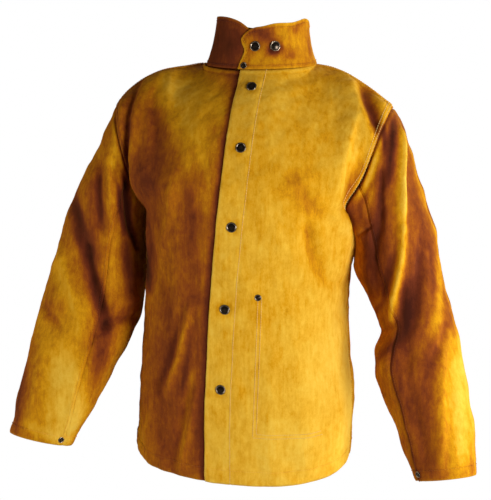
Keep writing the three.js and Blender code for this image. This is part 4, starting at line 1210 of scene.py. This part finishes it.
# %% Thread materials
def thread(name, clean=None, soiled=None):
    """Waxed thread with a twisted relief, soiled slowly along the seams or dyed like the leather under it, with
    that leather's painted shade.
    """
    material, tree = new_material(name)
    where = add_node(tree, "ShaderNodeTexCoord").outputs["Object"]
    if clean:
        colour = blend(tree, noise(tree, where, 35, detail=4.0), clean, soiled)
    else:
        colour = nap_and_shade_node(tree, -0.05)["Color"]
    inputs = {"Base Color": colour, "Roughness": 0.6, "Specular IOR Level": 0.25}
    finish_material(tree, inputs, noise(tree, where, 2600, detail=1.0), 0.5, 0.0003)
    return material


pale_thread = thread("pale_thread", (0.95, 0.74, 0.30, 1), (0.82, 0.52, 0.12, 1))
dyed_and_shaded_thread = thread("dyed_and_shaded_thread")
print("threads:", pale_thread.name, dyed_and_shaded_thread.name)

# %% Sew
upper, lower = slice(LOW_ROWS, None), slice(0, LOW_ROWS)
SHOULDER_LINES, ARMHOLE_LINES = (2.5, 7), (4, 11)
stitches("stitching_front_edge", [beside(left, "first_column", FACING_LINE)], pale_thread)
stitches("stitching_hem", [beside(g, "first_row", HEM_LINE) for g in (left, right, back)], dyed_and_shaded_thread)
shoulder_runs = [
    beside(g, "last_row", d, side * g["across"][-1] > NECK_SHARE)
    for g, side in ((left, 1), (right, -1), (back, 1), (back, -1))
    for d in SHOULDER_LINES
]
stitches("stitching_shoulders", shoulder_runs, dyed_and_shaded_thread)
armholes = {
    "left": ((left, "last_column"), (back, "last_column"), pale_thread),
    "right": ((right, "first_column"), (back, "first_column"), dyed_and_shaded_thread),
}
for side, (*pairs, material) in armholes.items():
    runs = [beside(g, e, d, upper) for g, e in pairs for d in ARMHOLE_LINES]
    stitches(f"stitching_armhole_{side}", runs, material)
side_runs = [beside(g, e, SIDE_LINE, lower) for g, e in side_edges[:2]]
stitches("stitching_sides", side_runs, dyed_and_shaded_thread)
for side in ("left", "right"):
    top, under = panels[f"top_sleeve_{side}"], panels[f"under_sleeve_{side}"]
    runs = [beside(top, e, SLEEVE_LINE) for e in COLUMN_EDGES[::-1]]
    stitches(f"stitching_sleeve_{side}", runs, dyed_and_shaded_thread)
    stitches(f"stitching_cuff_{side}", [beside(g, "last_row", CUFF_LINE) for g in (top, under)], dyed_and_shaded_thread)
collar_runs = [beside(collar, e, COLLAR_LINE) for e in (*COLUMN_EDGES, "last_row")]
stitches("stitching_collar", collar_runs, dyed_and_shaded_thread)
stitches("stitching_neck", [beside(collar, "first_row", NECK_LINE)], dyed_and_shaded_thread)


# %% Pocket stitching
def front_line(points, count=90):
    """Points, normals and nap with painted shade of the upper front along a broken line given by x and level.
    """
    points = np.array(points, float)
    run = np.linspace(0, len(points) - 1, count)
    x, level = (np.interp(run, np.arange(len(points)), points[:, k]) for k in (0, 1))
    place = front_place(x, level)
    return tuple(sample(field, *place) for field in (surface(left), left["normal"], left["nap"]))


POCKET = [  # ends of its stitch lines, each in x and level
    [(44, 0.73), (37, 0.195)], [(50, 0.73), (43, 0.209)],
    [(37, 0.195), (158, 0.185)], [(43, 0.209), (158, 0.199)],
]
stitches("stitching_pocket", [front_line(line) for line in POCKET], pale_thread)


# %% [markdown]
# ## Snaps and rivets
# Press snaps are turned metal: a cap with a rolled rim and a shallow dome, a post through the leather, and a
# disc behind it. A profile carried once round its axis gives the whole piece. The black finish has worn to
# bright metal on the rims, so the material follows an edge mask that comes from the profile itself.

# %% Snap profiles
SEAT_GAP, LATHE_SIDES = 0.3, 32


def snap_profile(cap, cap_height, post, back, back_height, stack):
    """Radius, height and wear of a fastener from the middle of its back disc to the middle of its cap. The
    rim is an arc of a circle and the dome a parabola."""
    low = -stack - SEAT_GAP
    foot = low - back_height
    rows = [(0, foot, 0), (back * 0.9, foot, 0.2), (back, low - back_height * 0.6, 0.6)]
    rows += [(back, low - back_height * 0.2, 0.4), (back * 0.93, low, 0), (post, low, 0), (post, SEAT_GAP, 0)]
    rim = np.radians(np.linspace(-90, 150, 9))
    tube = cap_height * 0.42
    middle = SEAT_GAP + tube
    rows += [(cap - tube + tube * np.cos(a), middle + tube * np.sin(a), max(0, np.sin(a))) for a in rim]
    inner = cap - 2.4 * tube
    dome = np.linspace(1, 0, 6)
    rows += [(inner * r, SEAT_GAP + cap_height * (1 - 0.45 * r * r), 0.25 * (1 - r)) for r in dome]
    return np.array(rows, float)


def lathe(name, profile, centre, axis, material):
    """A profile turned round an axis at a centre, with both poles drawn to a point."""
    axis = unit(axis)
    first = unit(np.cross(axis, (0.3, 0.2, 0.9)))
    second = np.cross(axis, first)
    angle = np.linspace(0, 2 * np.pi, LATHE_SIDES, endpoint=False)
    spoke = np.cos(angle)[:, None] * first + np.sin(angle)[:, None] * second
    ring = profile[1:-1]
    body = centre + ring[:, 0, None, None] * spoke + ring[:, 1, None, None] * axis
    poles = centre + profile[[0, -1], 1, None] * axis
    points = np.concatenate([body.reshape(-1, 3), poles])
    south = len(ring) * LATHE_SIDES
    at = np.arange(LATHE_SIDES)
    turn = np.roll(at, -1)
    last = south - LATHE_SIDES
    bottom = np.stack([np.full(LATHE_SIDES, south), turn, at], -1)
    top = np.stack([np.full(LATHE_SIDES, south + 1), at + last, turn + last], -1)
    wear = np.concatenate([np.repeat(ring[:, 2], LATHE_SIDES), profile[[0, -1], 2]])
    faces = [tube_faces(len(ring), LATHE_SIDES), bottom, top]
    return mesh_object(name, points, faces, material, wear=wear)


# %% Blackened metal
BLACK, BARE = (0.030, 0.022, 0.018, 1), (0.58, 0.48, 0.37, 1)
blackened, tree = new_material("blackened_metal")
where = add_node(tree, "ShaderNodeTexCoord")
wear = add_node(tree, "ShaderNodeAttribute", attribute_name="wear")
patches = noise(tree, where.outputs["Object"], 420, detail=4.0)
mask = maths(tree, "MULTIPLY", wear.outputs["Fac"], maths(tree, "MULTIPLY", patches, 1.1), clamp=True)
shader = add_node(tree, "ShaderNodeBsdfPrincipled", {
    "Base Color": blend(tree, mask, BLACK, BARE), "Metallic": 0.85, "Specular IOR Level": 0.5,
    "Roughness": maths(tree, "MULTIPLY_ADD", patches, 0.2, 0.14, True),
})
add_node(tree, "ShaderNodeOutputMaterial", {"Surface": shader.outputs[0]})
print("metal:", blackened.name)

# %% Set the snaps
for name, (panel, place, kind, stack) in seats.items():
    centre = sample(surface(panels[panel]), *place)
    axis = sample(panels[panel]["normal"], *place)
    piece = lathe(f"metal_{name}", snap_profile(*SIZES[kind], stack), centre, axis, blackened)
    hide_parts(name)
    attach(piece, "root")
print("fasteners:", len(seats))
